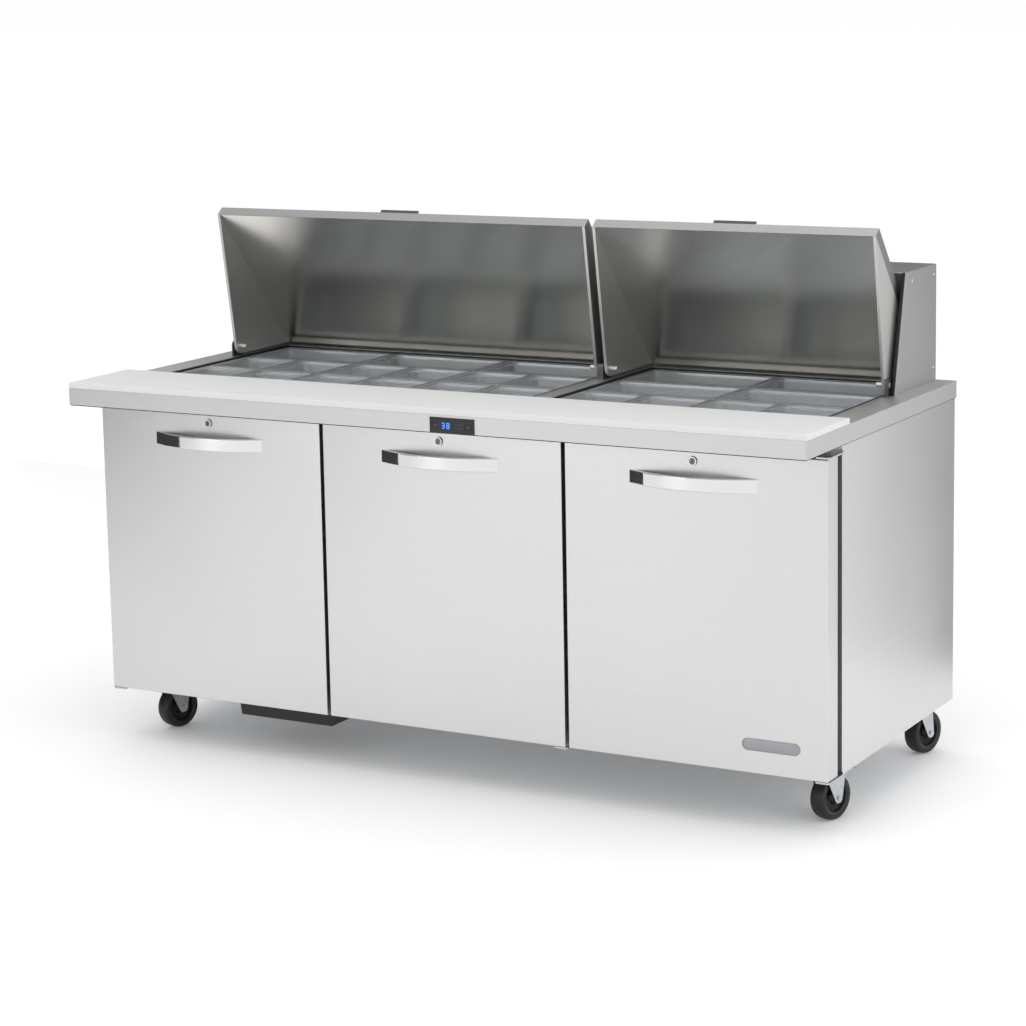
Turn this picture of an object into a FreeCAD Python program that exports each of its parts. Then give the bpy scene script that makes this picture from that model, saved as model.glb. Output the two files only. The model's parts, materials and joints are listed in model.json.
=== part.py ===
import FreeCAD, Part
import math
import os

# Refrigerated sandwich prep table: an insulated cabinet with three doors, a steel worktop
# with a cold well of food pans, two lids that swing back into a rear hood, and four casters.
# X runs along the table, Y from the front to the back, Z up from the floor, in mm.
# Depths (d) are counted back from the worktop's front edge and turned into Y by y_at().

# Overall sizes
TABLE_LENGTH = 1839.0
TABLE_DEPTH = 867.0
WORKTOP_HEIGHT = 864.0
APRON_HEIGHT = 38.5
SHEET = 1.5                  # stainless skin
REAR_BUMPER_LENGTH = 16.0
CONTROL_PROUD = 2.0          # the controller's face stands out of the apron

# Cabinet box
END_OVERHANG = 3.5           # worktop past each side panel
CASTER_HEADROOM = 23.0       # cabinet's underside above the wheels
CABINET_FRONT = 195.0        # d of the face the door gaskets close on
CABINET_REAR_INSET = 1.0
WALL_INSULATION = 44.0
FLOOR_INSULATION = 38.0
LINER = 1.0
BOTTOM_PLATE = 2.0
FRAME_DEPTH = 30.0
HEAD_DROP = 112.0            # underside of the rail above the doors, below the worktop
MULLION_WIDTH = 52.0
RETURN_FLANGE = 22.0

# Cold well and pans: standard one-sixth pans, and one-third pans two sixths wide
PAN_WIDTH = 161.9
PAN_LENGTH = 176.2
PAN_DEPTH = 100.0
PAN_GAP = 0.6
PAN_WALL = 2.5
PAN_RIM = 9.0
PAN_RIM_THICK = 3.0
PAN_DRAFT = 7.0              # each side pulls in this far at the bottom
PAN_CORNER = 16.0
PAN_DROP = 3.5               # pan rims below the worktop
LEFT_SHARE = 0.6             # of the pan columns that the left well takes
BRIDGE_LEAST = 40.0
REAR_STRIP_LEAST = 60.0
WELL_END_STRIP = 70.5        # worktop beyond each end of the wells
WELL_SLACK = 1.5
TRIM_WIDTH = 6.0
TRIM_DROP = 0.5              # trim below the worktop's surface
WELL_FRONT = 258.0           # d of the well's front edge in the worktop
WELL_DEPTH = 140.0
WELL_WALL = 8.0
WELL_FLOOR = 2.0
BAR_WIDTH = 14.0
BAR_HEIGHT = 10.0

# Cutting board
BOARD_THICK = 12.7
BOARD_DEPTH = 226.0
BOARD_GAP = 0.3
BOARD_CORNER = 2.5

# Doors
DOOR_FRONT = 116.5
DOOR_THICK = 54.0
DOOR_GAP = 9.0
DOOR_TOP_GAP = 20.0
DOOR_BOTTOM_LIFT = 4.0
DOOR_EDGE = 2.0
DOOR_SKIN = 1.2
DOOR_BOSS = 5.0              # metal left around each bore
GASKET_GAP = 0.3
GASKET_INSET = 17.0
GASKET_WIDTH = 16.0
HINGE_PIN_RADIUS = 5.0
HINGE_PIN_INSET = 14.0       # pin axis from the door's hinge edge
HINGE_PIN_BACK = 15.0        # pin axis behind the door's face
HINGE_PIN_ENGAGE = 18.0
HINGE_PLATE = 4.0
HINGE_PLATE_WIDTH = 34.0
HINGE_PLATE_AHEAD = 13.0     # plate in front of the pin
HINGE_GAP = 1.0
RUNNING_FIT = 0.05

# Door handles and locks
HANDLE_LENGTH = 296.0
HANDLE_HEIGHT = 30.0
HANDLE_BOW = 38.0
HANDLE_THICK = 6.0
HANDLE_FOOT = 13.0
HANDLE_DROP = 124.0          # centre line below the worktop
LOCK_RADIUS = 9.5
LOCK_DROP = 81.0
LOCK_PROUD = 3.0
LOCK_LENGTH = 26.0
LOCK_CAM = 12.5
LOCK_CAM_THICK = 4.0
LOCK_SLOT = 8.0              # keyway height
LOCK_GAP = 0.3

# Controller in the apron
CONTROL_CENTRE = 103.0
CONTROL_WIDTH = 110.0
CONTROL_HEIGHT = 35.0
CONTROL_DROP = 22.5
CONTROL_BODY = 30.0
CONTROL_STEP = 4.0           # the body behind the bezel is this much smaller all round
KEY_WIDTH = 18.0
KEY_HEIGHT = 9.0
KEY_OFFSET = 40.0
KEY_DEEP = 3.0
KEY_TRAVEL = 1.5             # room behind each key
KEY_GAP = 0.3

# Lids, drawn closed around the pivot and turned to the open position
LID_EDGE_INSET = 62.5        # outer side of the lids from the worktop's ends
LID_GAP = 19.0
LID_WALL = 7.0
LID_PANEL = 25.0
LID_PIVOT_FROM_REAR = 267.0
LID_PIVOT_RISE = 24.0
LID_FRONT_LAP = 2.0          # closed lid stops this far behind the wells' front edge
LID_WALL_DROP = 18.0         # the walls' lower edge below the pivot
LID_BACK = 52.0              # rear corner behind the pivot
LID_RISE = 212.0             # rear corner above the pivot
LID_OPEN_ANGLE = 81.0
LID_PIN_RADIUS = 6.0
LID_PIN_INSIDE = 18.0        # pin shown inside each wall
LID_PIN_GAP = 2.0            # between the two lids' pins
LID_SKIN = 1.0
LID_SIDE_GAP = 1.5
LID_PULL_LENGTH = 103.0
LID_PULL_BASE = 24.0
LID_PULL_LIP = 10.0
LID_PULL_THICK = 3.0

# Hood behind the lids
HOOD_HEIGHT = 264.0
HOOD_REAR_INSET = 3.5
HOOD_TOP_DEPTH = 201.0       # front edge of the hood's top from the worktop's rear
HOOD_BOTTOM_DEPTH = 265.0
CHEEK_THICK = 7.0
CHEEK_TRIM = 5.0
PIVOT_PLATE = 4.0
PIVOT_PLATE_DEEP = 44.0
PIVOT_PLATE_TALL = 38.0
BUMPER_RADIUS = 10.0
BUMPER_RISE = 64.0
BUMPER_INSET = 70.0

# Casters
WHEEL_RADIUS = 50.0
WHEEL_WIDTH = 36.0
WHEEL_ROUND = 6.0
HUB_RADIUS = 33.0
AXLE_RADIUS = 5.0
CASTER_TRAIL = 30.0
CASTER_TURN = -17.0          # degrees that each fork has swung at rest
CASTER_PLATE = 4.0
CASTER_PLATE_LONG = 84.0
CASTER_PLATE_WIDE = 70.0
CASTER_INSET = 69.0          # swivel axis from the worktop's ends
CASTER_FRONT = 240.0
CASTER_REAR_INSET = 71.0     # rear swivel axes from the worktop's rear
KINGPIN_RADIUS = 7.0
FORK_TOP = 4.0
FORK_TOP_RADIUS = 25.0
FORK_LEG = 3.0
FORK_GAP = 3.0               # leg to wheel
FORK_FRONT = 18.0            # leg in front of the swivel axis
FORK_BACK = 35.0             # and behind it, without a brake
FORK_SKIRT = 8.0             # leg below the fork's top plate
AXLE_EAR = 11.0              # leg around the axle
BRAKE_EAR = 8.0              # leg behind the brake pin
BRAKE_LENGTH = 50.0
BRAKE_PIN_RADIUS = 4.0
BRAKE_PIN_BACK = 44.0        # brake pin behind the swivel axis
BRAKE_PIN_DROP = 17.0        # below the cabinet's underside
BRAKE_THICK = 4.0

# Machine compartment at the rear left, shelves and cold coil
MACHINE_WIDTH = 560.0
MACHINE_DEPTH = 266.0
MACHINE_DROP = 394.0         # ceiling of the compartment below the worktop
MACHINE_WALL = 40.0
GRILLE_MARGIN = 30.0
GRILLE_SLOTS = 12
GRILLE_RIB = 20.0            # plain strip between the two columns of slots
GRILLE_SIDE_ROOM = 70.0      # plain panel beside the grille for the cord gland
SHELF_RISE = 58.0            # shelves above the compartment's ceiling
SHELF_ROD = 5.0
SHELF_WIRES = 14
SHELF_CLEAR = 8.0
PILASTER_WIDTH = 16.0
PILASTER_DEPTH = 8.0
COIL_WIDTH = 420.0
COIL_DEPTH = 70.0
COIL_HEIGHT = 150.0
FAN_RADIUS = 62.0
FAN_HUB_RADIUS = 22.0
FAN_DEPTH = 16.0
FAN_GAP = 6.0
FAN_BLADES = 5
FAN_CLEAR = 0.5
COMPRESSOR_RADIUS = 78.0
COMPRESSOR_HEIGHT = 175.0
COMPRESSOR_SIDE = 50.0       # can to the compartment's left wall
COMPRESSOR_ROUND = 30.0
COMPRESSOR_LIFT = 14.0       # can above the floor
FOOT_BAR_HALF_LONG = 95.0
FOOT_BAR_HALF_WIDE = 50.0
FOOT_BAR_THICK = 8.0
FOOT_PAD_RADIUS = 9.0
FOOT_PAD_LAP = 1.0
CONDENSER_WIDTH = 190.0
CONDENSER_DEPTH = 45.0
CONDENSER_HEIGHT = 200.0
CONDENSER_SIDE = 30.0
CONDENSER_REAR = 25.0
MOTOR_RADIUS = 14.0
COIL_TOP_GAP = 6.0
DRAIN_PAN_INSET = 304.5      # from the worktop's left end
DRAIN_PAN_WIDTH = 285.0
DRAIN_PAN_DEPTH = 190.0
DRAIN_PAN_HEIGHT = 50.0
DRAIN_PAN_SLOPE = 26.0
DRAIN_PAN_WALL = 3.0
DRAIN_PAN_BACK = 8.0         # behind the cabinet's front
GLAND_RADIUS = 11.0
GLAND_BORE = 4.0
GLAND_LENGTH = 12.0
GLAND_INSET = 35.0           # from the compartment's right wall
GLAND_Z = 300.0

# Places worked out from the sizes above
HALF_LENGTH = TABLE_LENGTH / 2
HOOD_REAR = TABLE_DEPTH - HOOD_REAR_INSET
Y_SHIFT = -(HOOD_REAR + REAR_BUMPER_LENGTH - CONTROL_PROUD) / 2
APRON_BOTTOM = WORKTOP_HEIGHT - APRON_HEIGHT
CABINET_BOTTOM = 2 * WHEEL_RADIUS + CASTER_HEADROOM
BRAKE_PIN_RISE = CABINET_BOTTOM - BRAKE_PIN_DROP
CABINET_HALF = HALF_LENGTH - END_OVERHANG
CABINET_REAR = TABLE_DEPTH - CABINET_REAR_INSET
INNER_HALF = CABINET_HALF - SHEET - WALL_INSULATION - LINER
INNER_REAR = CABINET_REAR - SHEET - WALL_INSULATION - LINER
INNER_FLOOR = CABINET_BOTTOM + BOTTOM_PLATE + FLOOR_INSULATION + LINER
PAN_PITCH_X = PAN_WIDTH + PAN_GAP
PAN_PITCH_D = PAN_LENGTH + PAN_GAP
WELL_HALF = HALF_LENGTH - WELL_END_STRIP
WELL_EDGE = WELL_SLACK + TRIM_WIDTH
COLUMN_PAIRS = int((2 * WELL_HALF - 4 * WELL_EDGE - BRIDGE_LEAST) / (2 * PAN_PITCH_X))
LEFT_COLUMNS = 2 * round(COLUMN_PAIRS * LEFT_SHARE)
RIGHT_COLUMNS = 2 * COLUMN_PAIRS - LEFT_COLUMNS
PAN_ROWS = int((TABLE_DEPTH - WELL_FRONT - 2 * WELL_EDGE - REAR_STRIP_LEAST) / PAN_PITCH_D)
LEFT_WELL = LEFT_COLUMNS * PAN_PITCH_X + 2 * WELL_EDGE
RIGHT_WELL = RIGHT_COLUMNS * PAN_PITCH_X + 2 * WELL_EDGE
WELL_REAR = WELL_FRONT + PAN_ROWS * PAN_PITCH_D + 2 * WELL_EDGE
BRIDGE_LEFT = -WELL_HALF + LEFT_WELL
BRIDGE_RIGHT = WELL_HALF - RIGHT_WELL
BRIDGE_CENTRE = (BRIDGE_LEFT + BRIDGE_RIGHT) / 2
WELL_BASE = WORKTOP_HEIGHT - WELL_DEPTH
PAN_TOP = WORKTOP_HEIGHT - PAN_DROP
PAN_SEAT = PAN_TOP - PAN_RIM_THICK
HEAD_BOTTOM = WORKTOP_HEIGHT - HEAD_DROP
DOOR_TOP = APRON_BOTTOM - DOOR_TOP_GAP
DOOR_BOTTOM = CABINET_BOTTOM + DOOR_BOTTOM_LIFT
DOOR_WIDTH = (2 * CABINET_HALF - 2 * DOOR_GAP) / 3
DOOR_REAR = DOOR_FRONT + DOOR_THICK
DOOR_CENTRES = [i * (DOOR_WIDTH + DOOR_GAP) for i in (-1, 0, 1)]
DOOR_NAMES = ["left", "middle", "right"]
HINGE_SIDES = [-1, 1, 1]     # which edge each door hangs from
HINGE_D = DOOR_FRONT + HINGE_PIN_BACK
LID_HALF = HALF_LENGTH - LID_EDGE_INSET
LID_PIVOT_D = TABLE_DEPTH - LID_PIVOT_FROM_REAR
LID_REACH = LID_PIVOT_D - WELL_FRONT - LID_FRONT_LAP
LEFT_LID = (-LID_HALF, BRIDGE_CENTRE - LID_GAP / 2)
RIGHT_LID = (BRIDGE_CENTRE + LID_GAP / 2, LID_HALF)
LID_PIVOT_Z = WORKTOP_HEIGHT + LID_PIVOT_RISE
LID_SLOPE = math.atan2(LID_RISE + LID_WALL_DROP, LID_REACH + LID_BACK)
HOOD_TOP = WORKTOP_HEIGHT + HOOD_HEIGHT
HOOD_TOP_FRONT = TABLE_DEPTH - HOOD_TOP_DEPTH
HOOD_BOTTOM_FRONT = TABLE_DEPTH - HOOD_BOTTOM_DEPTH
CHEEK_INNER = LID_HALF + 2 * LID_SIDE_GAP + PIVOT_PLATE
MACHINE_LEFT = -CABINET_HALF + SHEET
MACHINE_RIGHT = MACHINE_LEFT + MACHINE_WIDTH
MACHINE_REAR = CABINET_REAR - SHEET
MACHINE_FRONT = CABINET_REAR - MACHINE_DEPTH
MACHINE_TOP = WORKTOP_HEIGHT - MACHINE_DROP
SHELF_HEIGHT = MACHINE_TOP + SHELF_RISE
DRAIN_PAN_LEFT = DRAIN_PAN_INSET - HALF_LENGTH
GRILLE_RIGHT = MACHINE_RIGHT - GRILLE_SIDE_ROOM
GLAND_X = MACHINE_RIGHT - GLAND_INSET
CASTER_X = HALF_LENGTH - CASTER_INSET
CASTER_REAR = TABLE_DEPTH - CASTER_REAR_INSET
FORK_TOP_Z = CABINET_BOTTOM - CASTER_PLATE - 1.0
FORK_HALF = WHEEL_WIDTH / 2 + FORK_GAP


def y_at(d):
    return d + Y_SHIFT


def box(x0, x1, d0, d1, z0, z1):
    return Part.makeBox(x1 - x0, d1 - d0, z1 - z0, FreeCAD.Vector(x0, y_at(d0), z0))


def rod(start, end, radius):
    """A round bar between two (x, d, z) points."""
    a = FreeCAD.Vector(start[0], y_at(start[1]), start[2])
    b = FreeCAD.Vector(end[0], y_at(end[1]), end[2])
    return Part.makeCylinder(radius, (b - a).Length, a, b - a)


def plate_x(points, x0, x1):
    """A flat outline of (d, z) points, given thickness along X."""
    corners = [FreeCAD.Vector(x0, y_at(d), z) for d, z in points]
    face = Part.Face(Part.makePolygon(corners + corners[:1]))
    return face.extrude(FreeCAD.Vector(x1 - x0, 0, 0))


def join(solids):
    return solids[0].multiFuse(solids[1:]).removeSplitter()


def round_edges(solid, radius, keep):
    """Rounds the edges for which keep(edge) is true."""
    return solid.makeFillet(radius, [edge for edge in solid.Edges if keep(edge)])


def runs_along(edge, axis):
    if len(edge.Vertexes) != 2:
        return False
    step = edge.Vertexes[1].Point - edge.Vertexes[0].Point
    return abs(abs(getattr(step, axis)) - edge.Length) < 0.01


def save(name, solids):
    shape = solids[0] if len(solids) == 1 else Part.makeCompound(solids)
    shape.exportStep("parts/" + name + ".step")


def side_panels():
    """Stainless side skins, folded inwards at the front and the back."""
    solids = []
    for side in (-1, 1):
        outer = side * CABINET_HALF
        inner = side * (CABINET_HALF - SHEET)
        fold = side * (CABINET_HALF - RETURN_FLANGE)
        top = WORKTOP_HEIGHT - SHEET
        skin = box(min(outer, inner), max(outer, inner), CABINET_FRONT, CABINET_REAR,
                   CABINET_BOTTOM, APRON_BOTTOM)
        upper = box(min(outer, inner), max(outer, inner), WELL_FRONT, CABINET_REAR, APRON_BOTTOM, top)
        fronts = box(min(outer, fold), max(outer, fold), CABINET_FRONT, CABINET_FRONT + SHEET,
                     CABINET_BOTTOM, APRON_BOTTOM)
        solids.append(join([skin, upper, fronts]))
    save("side_panels", solids)


def back_panel():
    """Rear skin with a service opening behind the machine compartment and the cord gland's hole."""
    half = CABINET_HALF - SHEET
    panel = box(-half, half, MACHINE_REAR, CABINET_REAR, CABINET_BOTTOM + BOTTOM_PLATE, WORKTOP_HEIGHT - SHEET)
    opening = box(MACHINE_LEFT + GRILLE_MARGIN, GRILLE_RIGHT - GRILLE_MARGIN, MACHINE_REAR - 1,
                  CABINET_REAR + 1, CABINET_BOTTOM + BOTTOM_PLATE + GRILLE_MARGIN, MACHINE_TOP - GRILLE_MARGIN)
    hole = rod((GLAND_X, MACHINE_REAR - 1, GLAND_Z), (GLAND_X, CABINET_REAR + 1, GLAND_Z), GLAND_RADIUS / 2)
    save("back_panel", [panel.cut(opening).cut(hole)])


def bottom_panel():
    half = CABINET_HALF - SHEET
    save("bottom_panel", [box(-half, half, CABINET_FRONT + SHEET, CABINET_REAR,
                              CABINET_BOTTOM, CABINET_BOTTOM + BOTTOM_PLATE)])


def insulation():
    """Foam slabs: sides, floor, back, and the walls around the machine compartment."""
    skin = CABINET_HALF - SHEET
    low = CABINET_BOTTOM + BOTTOM_PLATE
    front = CABINET_FRONT + FRAME_DEPTH
    under = WELL_BASE - WELL_FLOOR
    machine_lid = MACHINE_TOP + MACHINE_WALL
    rear_face = INNER_REAR + LINER
    solids = [
        box(-skin, -skin + WALL_INSULATION, front, MACHINE_FRONT - MACHINE_WALL, low, under),
        box(-skin, -skin + WALL_INSULATION, MACHINE_FRONT - MACHINE_WALL, MACHINE_REAR, machine_lid, under),
        box(skin - WALL_INSULATION, skin, front, MACHINE_REAR, low, under),
        box(-skin + WALL_INSULATION, skin - WALL_INSULATION, front, MACHINE_FRONT - MACHINE_WALL,
            low, low + FLOOR_INSULATION),
        box(MACHINE_RIGHT + MACHINE_WALL, skin - WALL_INSULATION, MACHINE_FRONT - MACHINE_WALL, rear_face,
            low, low + FLOOR_INSULATION),
        box(MACHINE_RIGHT + MACHINE_WALL, skin - WALL_INSULATION, rear_face, MACHINE_REAR, low, under),
        box(-skin + WALL_INSULATION, MACHINE_RIGHT + MACHINE_WALL, rear_face, MACHINE_REAR, machine_lid, under),
        box(-skin, MACHINE_RIGHT + MACHINE_WALL, MACHINE_FRONT - MACHINE_WALL, MACHINE_FRONT, low, machine_lid),
        box(MACHINE_RIGHT, MACHINE_RIGHT + MACHINE_WALL, MACHINE_FRONT, MACHINE_REAR, low, machine_lid),
        box(-skin, MACHINE_RIGHT, MACHINE_FRONT, MACHINE_REAR, MACHINE_TOP, machine_lid),
    ]
    save("insulation", solids)


def liner_panels():
    """Sheet lining of the cabinet, and the walls and floor of the cold well."""
    front = CABINET_FRONT + FRAME_DEPTH
    under = WELL_BASE - WELL_FLOOR
    rear = INNER_REAR
    step_front = MACHINE_FRONT - MACHINE_WALL - LINER
    step_top = MACHINE_TOP + MACHINE_WALL
    step_side = MACHINE_RIGHT + MACHINE_WALL
    inner = INNER_HALF
    solids = [
        box(-inner, inner, front, step_front, INNER_FLOOR - LINER, INNER_FLOOR),
        box(step_side, inner, step_front, rear, INNER_FLOOR - LINER, INNER_FLOOR),
        box(-inner - LINER, -inner, front, step_front, INNER_FLOOR - LINER, under),
        box(-inner - LINER, -inner, step_front, rear, step_top, under),
        box(inner, inner + LINER, front, rear, INNER_FLOOR - LINER, under),
        box(-inner, step_side, step_front, step_front + LINER, INNER_FLOOR, step_top),
        box(step_side, step_side + LINER, step_front, rear, INNER_FLOOR, step_top),
        box(-inner, step_side + LINER, step_front, rear, step_top, step_top + LINER),
        box(-inner - LINER, inner + LINER, rear, rear + LINER, step_top, under),
        box(step_side + LINER, inner + LINER, rear, rear + LINER, INNER_FLOOR - LINER, step_top),
    ]
    for x0, x1 in ((-WELL_HALF, BRIDGE_LEFT), (BRIDGE_RIGHT, WELL_HALF)):
        near = x0 + TRIM_WIDTH + WELL_SLACK
        far = x1 - TRIM_WIDTH - WELL_SLACK
        start = WELL_FRONT + TRIM_WIDTH + WELL_SLACK
        end = WELL_REAR - TRIM_WIDTH - WELL_SLACK
        solids.append(box(near, far, start, end, WELL_BASE - WELL_FLOOR, WELL_BASE))
        solids.append(box(near - WELL_WALL / 2, near + WELL_WALL, start - WELL_WALL / 2, end + WELL_WALL / 2,
                          WELL_BASE, PAN_SEAT))
        solids.append(box(far - WELL_WALL, far + WELL_WALL / 2, start - WELL_WALL / 2, end + WELL_WALL / 2,
                          WELL_BASE, PAN_SEAT))
        solids.append(box(near + WELL_WALL, far - WELL_WALL, start - WELL_WALL / 2, start + WELL_WALL,
                          WELL_BASE, PAN_SEAT))
        solids.append(box(near + WELL_WALL, far - WELL_WALL, end - WELL_WALL, end + WELL_WALL / 2,
                          WELL_BASE, PAN_SEAT))
        for row in range(1, PAN_ROWS):
            centre = start + row * PAN_PITCH_D
            solids.append(box(near + WELL_WALL, far - WELL_WALL, centre - BAR_WIDTH / 2, centre + BAR_WIDTH / 2,
                              PAN_SEAT - BAR_HEIGHT, PAN_SEAT))
    save("liner_panels", solids)


def front_frame():
    """Rails and posts around the door openings that the gaskets close on."""
    rear = CABINET_FRONT + FRAME_DEPTH
    start = CABINET_FRONT + SHEET
    skin = CABINET_HALF - SHEET
    low = CABINET_BOTTOM + BOTTOM_PLATE
    solids = [
        box(-skin, skin, start, rear, HEAD_BOTTOM, APRON_BOTTOM),
        box(-skin, skin, start, rear, low, INNER_FLOOR),
        box(-skin, -INNER_HALF, start, rear, INNER_FLOOR, HEAD_BOTTOM),
        box(INNER_HALF, skin, start, rear, INNER_FLOOR, HEAD_BOTTOM),
    ]
    for side in (-1, 1):
        centre = side * (DOOR_WIDTH + DOOR_GAP) / 2
        solids.append(box(centre - MULLION_WIDTH / 2, centre + MULLION_WIDTH / 2, start, rear,
                          INNER_FLOOR, HEAD_BOTTOM))
    save("front_frame", solids)


def worktop_front():
    """Closed channel under the cutting board, cut open for the controller."""
    inner = HALF_LENGTH - SHEET
    outer = box(-inner, inner, 0, WELL_FRONT, APRON_BOTTOM, WORKTOP_HEIGHT)
    hollow = box(-inner - 1, inner + 1, SHEET, WELL_FRONT - SHEET, APRON_BOTTOM + SHEET, WORKTOP_HEIGHT - SHEET)
    save("worktop_front", [outer.cut(hollow).cut(control_body())])


def worktop_surround():
    """End strips with their aprons, the rear strip with its apron, and the bridge between the wells."""
    top = WORKTOP_HEIGHT
    solids = []
    for side in (-1, 1):
        edge = side * HALF_LENGTH
        inside = side * (HALF_LENGTH - SHEET)
        well = side * WELL_HALF
        strip = box(min(well, edge), max(well, edge), WELL_FRONT, TABLE_DEPTH, top - SHEET, top)
        apron = box(min(inside, edge), max(inside, edge), 0, TABLE_DEPTH, APRON_BOTTOM, top)
        solids.append(join([strip, apron]))
    rear = box(-WELL_HALF, WELL_HALF, WELL_REAR, TABLE_DEPTH, top - SHEET, top)
    rear_lip = box(-WELL_HALF, WELL_HALF, CABINET_REAR, TABLE_DEPTH, APRON_BOTTOM, top)
    solids.append(join([rear, rear_lip]))
    solids.append(box(BRIDGE_LEFT, BRIDGE_RIGHT, WELL_FRONT, WELL_REAR, top - SHEET, top))
    save("worktop_surround", solids)


def pan_trim():
    """Black breaker strips around the inside of each well opening."""
    top = WORKTOP_HEIGHT - TRIM_DROP
    solids = []
    for x0, x1 in ((-WELL_HALF, BRIDGE_LEFT), (BRIDGE_RIGHT, WELL_HALF)):
        solids.append(box(x0, x0 + TRIM_WIDTH, WELL_FRONT, WELL_REAR, PAN_SEAT, top))
        solids.append(box(x1 - TRIM_WIDTH, x1, WELL_FRONT, WELL_REAR, PAN_SEAT, top))
        solids.append(box(x0 + TRIM_WIDTH, x1 - TRIM_WIDTH, WELL_FRONT, WELL_FRONT + TRIM_WIDTH, PAN_SEAT, top))
        solids.append(box(x0 + TRIM_WIDTH, x1 - TRIM_WIDTH, WELL_REAR - TRIM_WIDTH, WELL_REAR, PAN_SEAT, top))
    save("pan_trim", solids)


def one_pan(x0, d0, columns):
    """A tapered food pan with a flat rim, as wide as the given number of columns."""
    width = columns * PAN_PITCH_X - PAN_GAP
    rim = box(x0, x0 + width, d0, d0 + PAN_LENGTH, PAN_SEAT, PAN_TOP)
    rim = round_edges(rim, PAN_CORNER / 2, lambda edge: runs_along(edge, "z"))
    low = PAN_TOP - PAN_DEPTH

    def well(inset, bottom):
        loops = []
        for z, pull in ((PAN_TOP + 0.01, 0.0), (bottom, PAN_DRAFT)):
            gap = PAN_RIM + inset + pull
            a, b = x0 + gap, x0 + width - gap
            c, e = d0 + gap, d0 + PAN_LENGTH - gap
            loops.append(rounded_loop(a, b, c, e, z, PAN_CORNER - inset))
        return Part.makeLoft(loops, True, True)

    return rim.fuse(well(0.0, low)).cut(well(PAN_WALL, low + PAN_WALL)).cut(
        box(x0, x0 + width, d0, d0 + PAN_LENGTH, PAN_TOP, PAN_TOP + 1))


def rounded_loop(x0, x1, d0, d1, z, radius):
    """A horizontal rectangle with round corners, as a closed wire."""
    def at(x, d):
        return FreeCAD.Vector(x, y_at(d), z)

    edges = []
    bulge = radius * (1 - math.sqrt(0.5))
    corners = [(x1, d0, -1, 1), (x1, d1, -1, -1), (x0, d1, 1, -1), (x0, d0, 1, 1)]
    arcs = []
    for index, (x, d, sx, sd) in enumerate(corners):
        along_x = at(x + sx * radius, d)
        along_d = at(x, d + sd * radius)
        middle = at(x + sx * bulge, d + sd * bulge)
        arcs.append((along_x, middle, along_d) if index % 2 == 0 else (along_d, middle, along_x))
    for index, (start, middle, end) in enumerate(arcs):
        edges.append(Part.Arc(start, middle, end).toShape())
        edges.append(Part.LineSegment(end, arcs[(index + 1) % 4][0]).toShape())
    return Part.Wire(edges)


def pan_layout():
    """Columns of each pan in every row, front to back, for the left and the right well."""
    more = PAN_ROWS - 1
    left = [[1] * LEFT_COLUMNS] * more + [[2] * (LEFT_COLUMNS // 2)]
    right = [[1] * RIGHT_COLUMNS] + [[2] * (RIGHT_COLUMNS // 2)] * more
    return ((-WELL_HALF, left), (BRIDGE_RIGHT, right))


def pans():
    solids = []
    for well_start, rows in pan_layout():
        for row, widths in enumerate(rows):
            x = well_start + TRIM_WIDTH + WELL_SLACK + PAN_GAP / 2
            d = WELL_FRONT + TRIM_WIDTH + WELL_SLACK + PAN_GAP / 2 + row * PAN_PITCH_D
            for columns in widths:
                solids.append(one_pan(x, d, columns))
                x += columns * PAN_PITCH_X
    save("pans", solids)


def cutting_board():
    low = WORKTOP_HEIGHT + BOARD_GAP
    board = box(-HALF_LENGTH, HALF_LENGTH, 0, BOARD_DEPTH, low, low + BOARD_THICK)
    board = round_edges(board, BOARD_CORNER, lambda edge: edge.CenterOfMass.z > low + BOARD_THICK - 0.1)
    save("cutting_board", [board])


def shelf_spans():
    """Left and right end of each shelf bay."""
    gap = (DOOR_WIDTH + DOOR_GAP) / 2
    return [(-INNER_HALF, -gap), (-gap, gap), (gap, INNER_HALF)]


def shelves():
    """Wire shelves: a frame of heavy rods with thinner wires laid across it."""
    spans = shelf_spans()
    solids = []
    front = CABINET_FRONT + FRAME_DEPTH + PILASTER_DEPTH + SHELF_CLEAR
    rear = INNER_REAR - PILASTER_DEPTH - SHELF_CLEAR
    for x0, x1 in spans:
        a, b = x0 + SHELF_CLEAR, x1 - SHELF_CLEAR
        low = SHELF_HEIGHT
        rods = [box(a, b, front, front + SHELF_ROD, low, low + SHELF_ROD),
                box(a, b, rear - SHELF_ROD, rear, low, low + SHELF_ROD),
                box(a, a + SHELF_ROD, front, rear, low, low + SHELF_ROD),
                box(b - SHELF_ROD, b, front, rear, low, low + SHELF_ROD)]
        pitch = (b - a - SHELF_ROD) / (SHELF_WIRES + 1)
        for wire in range(1, SHELF_WIRES + 1):
            x = a + wire * pitch
            rods.append(box(x, x + SHELF_ROD - 2, front, rear, low + SHELF_ROD - 1, low + SHELF_ROD + 2))
        solids.append(join(rods))
    save("shelves", solids)


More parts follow.
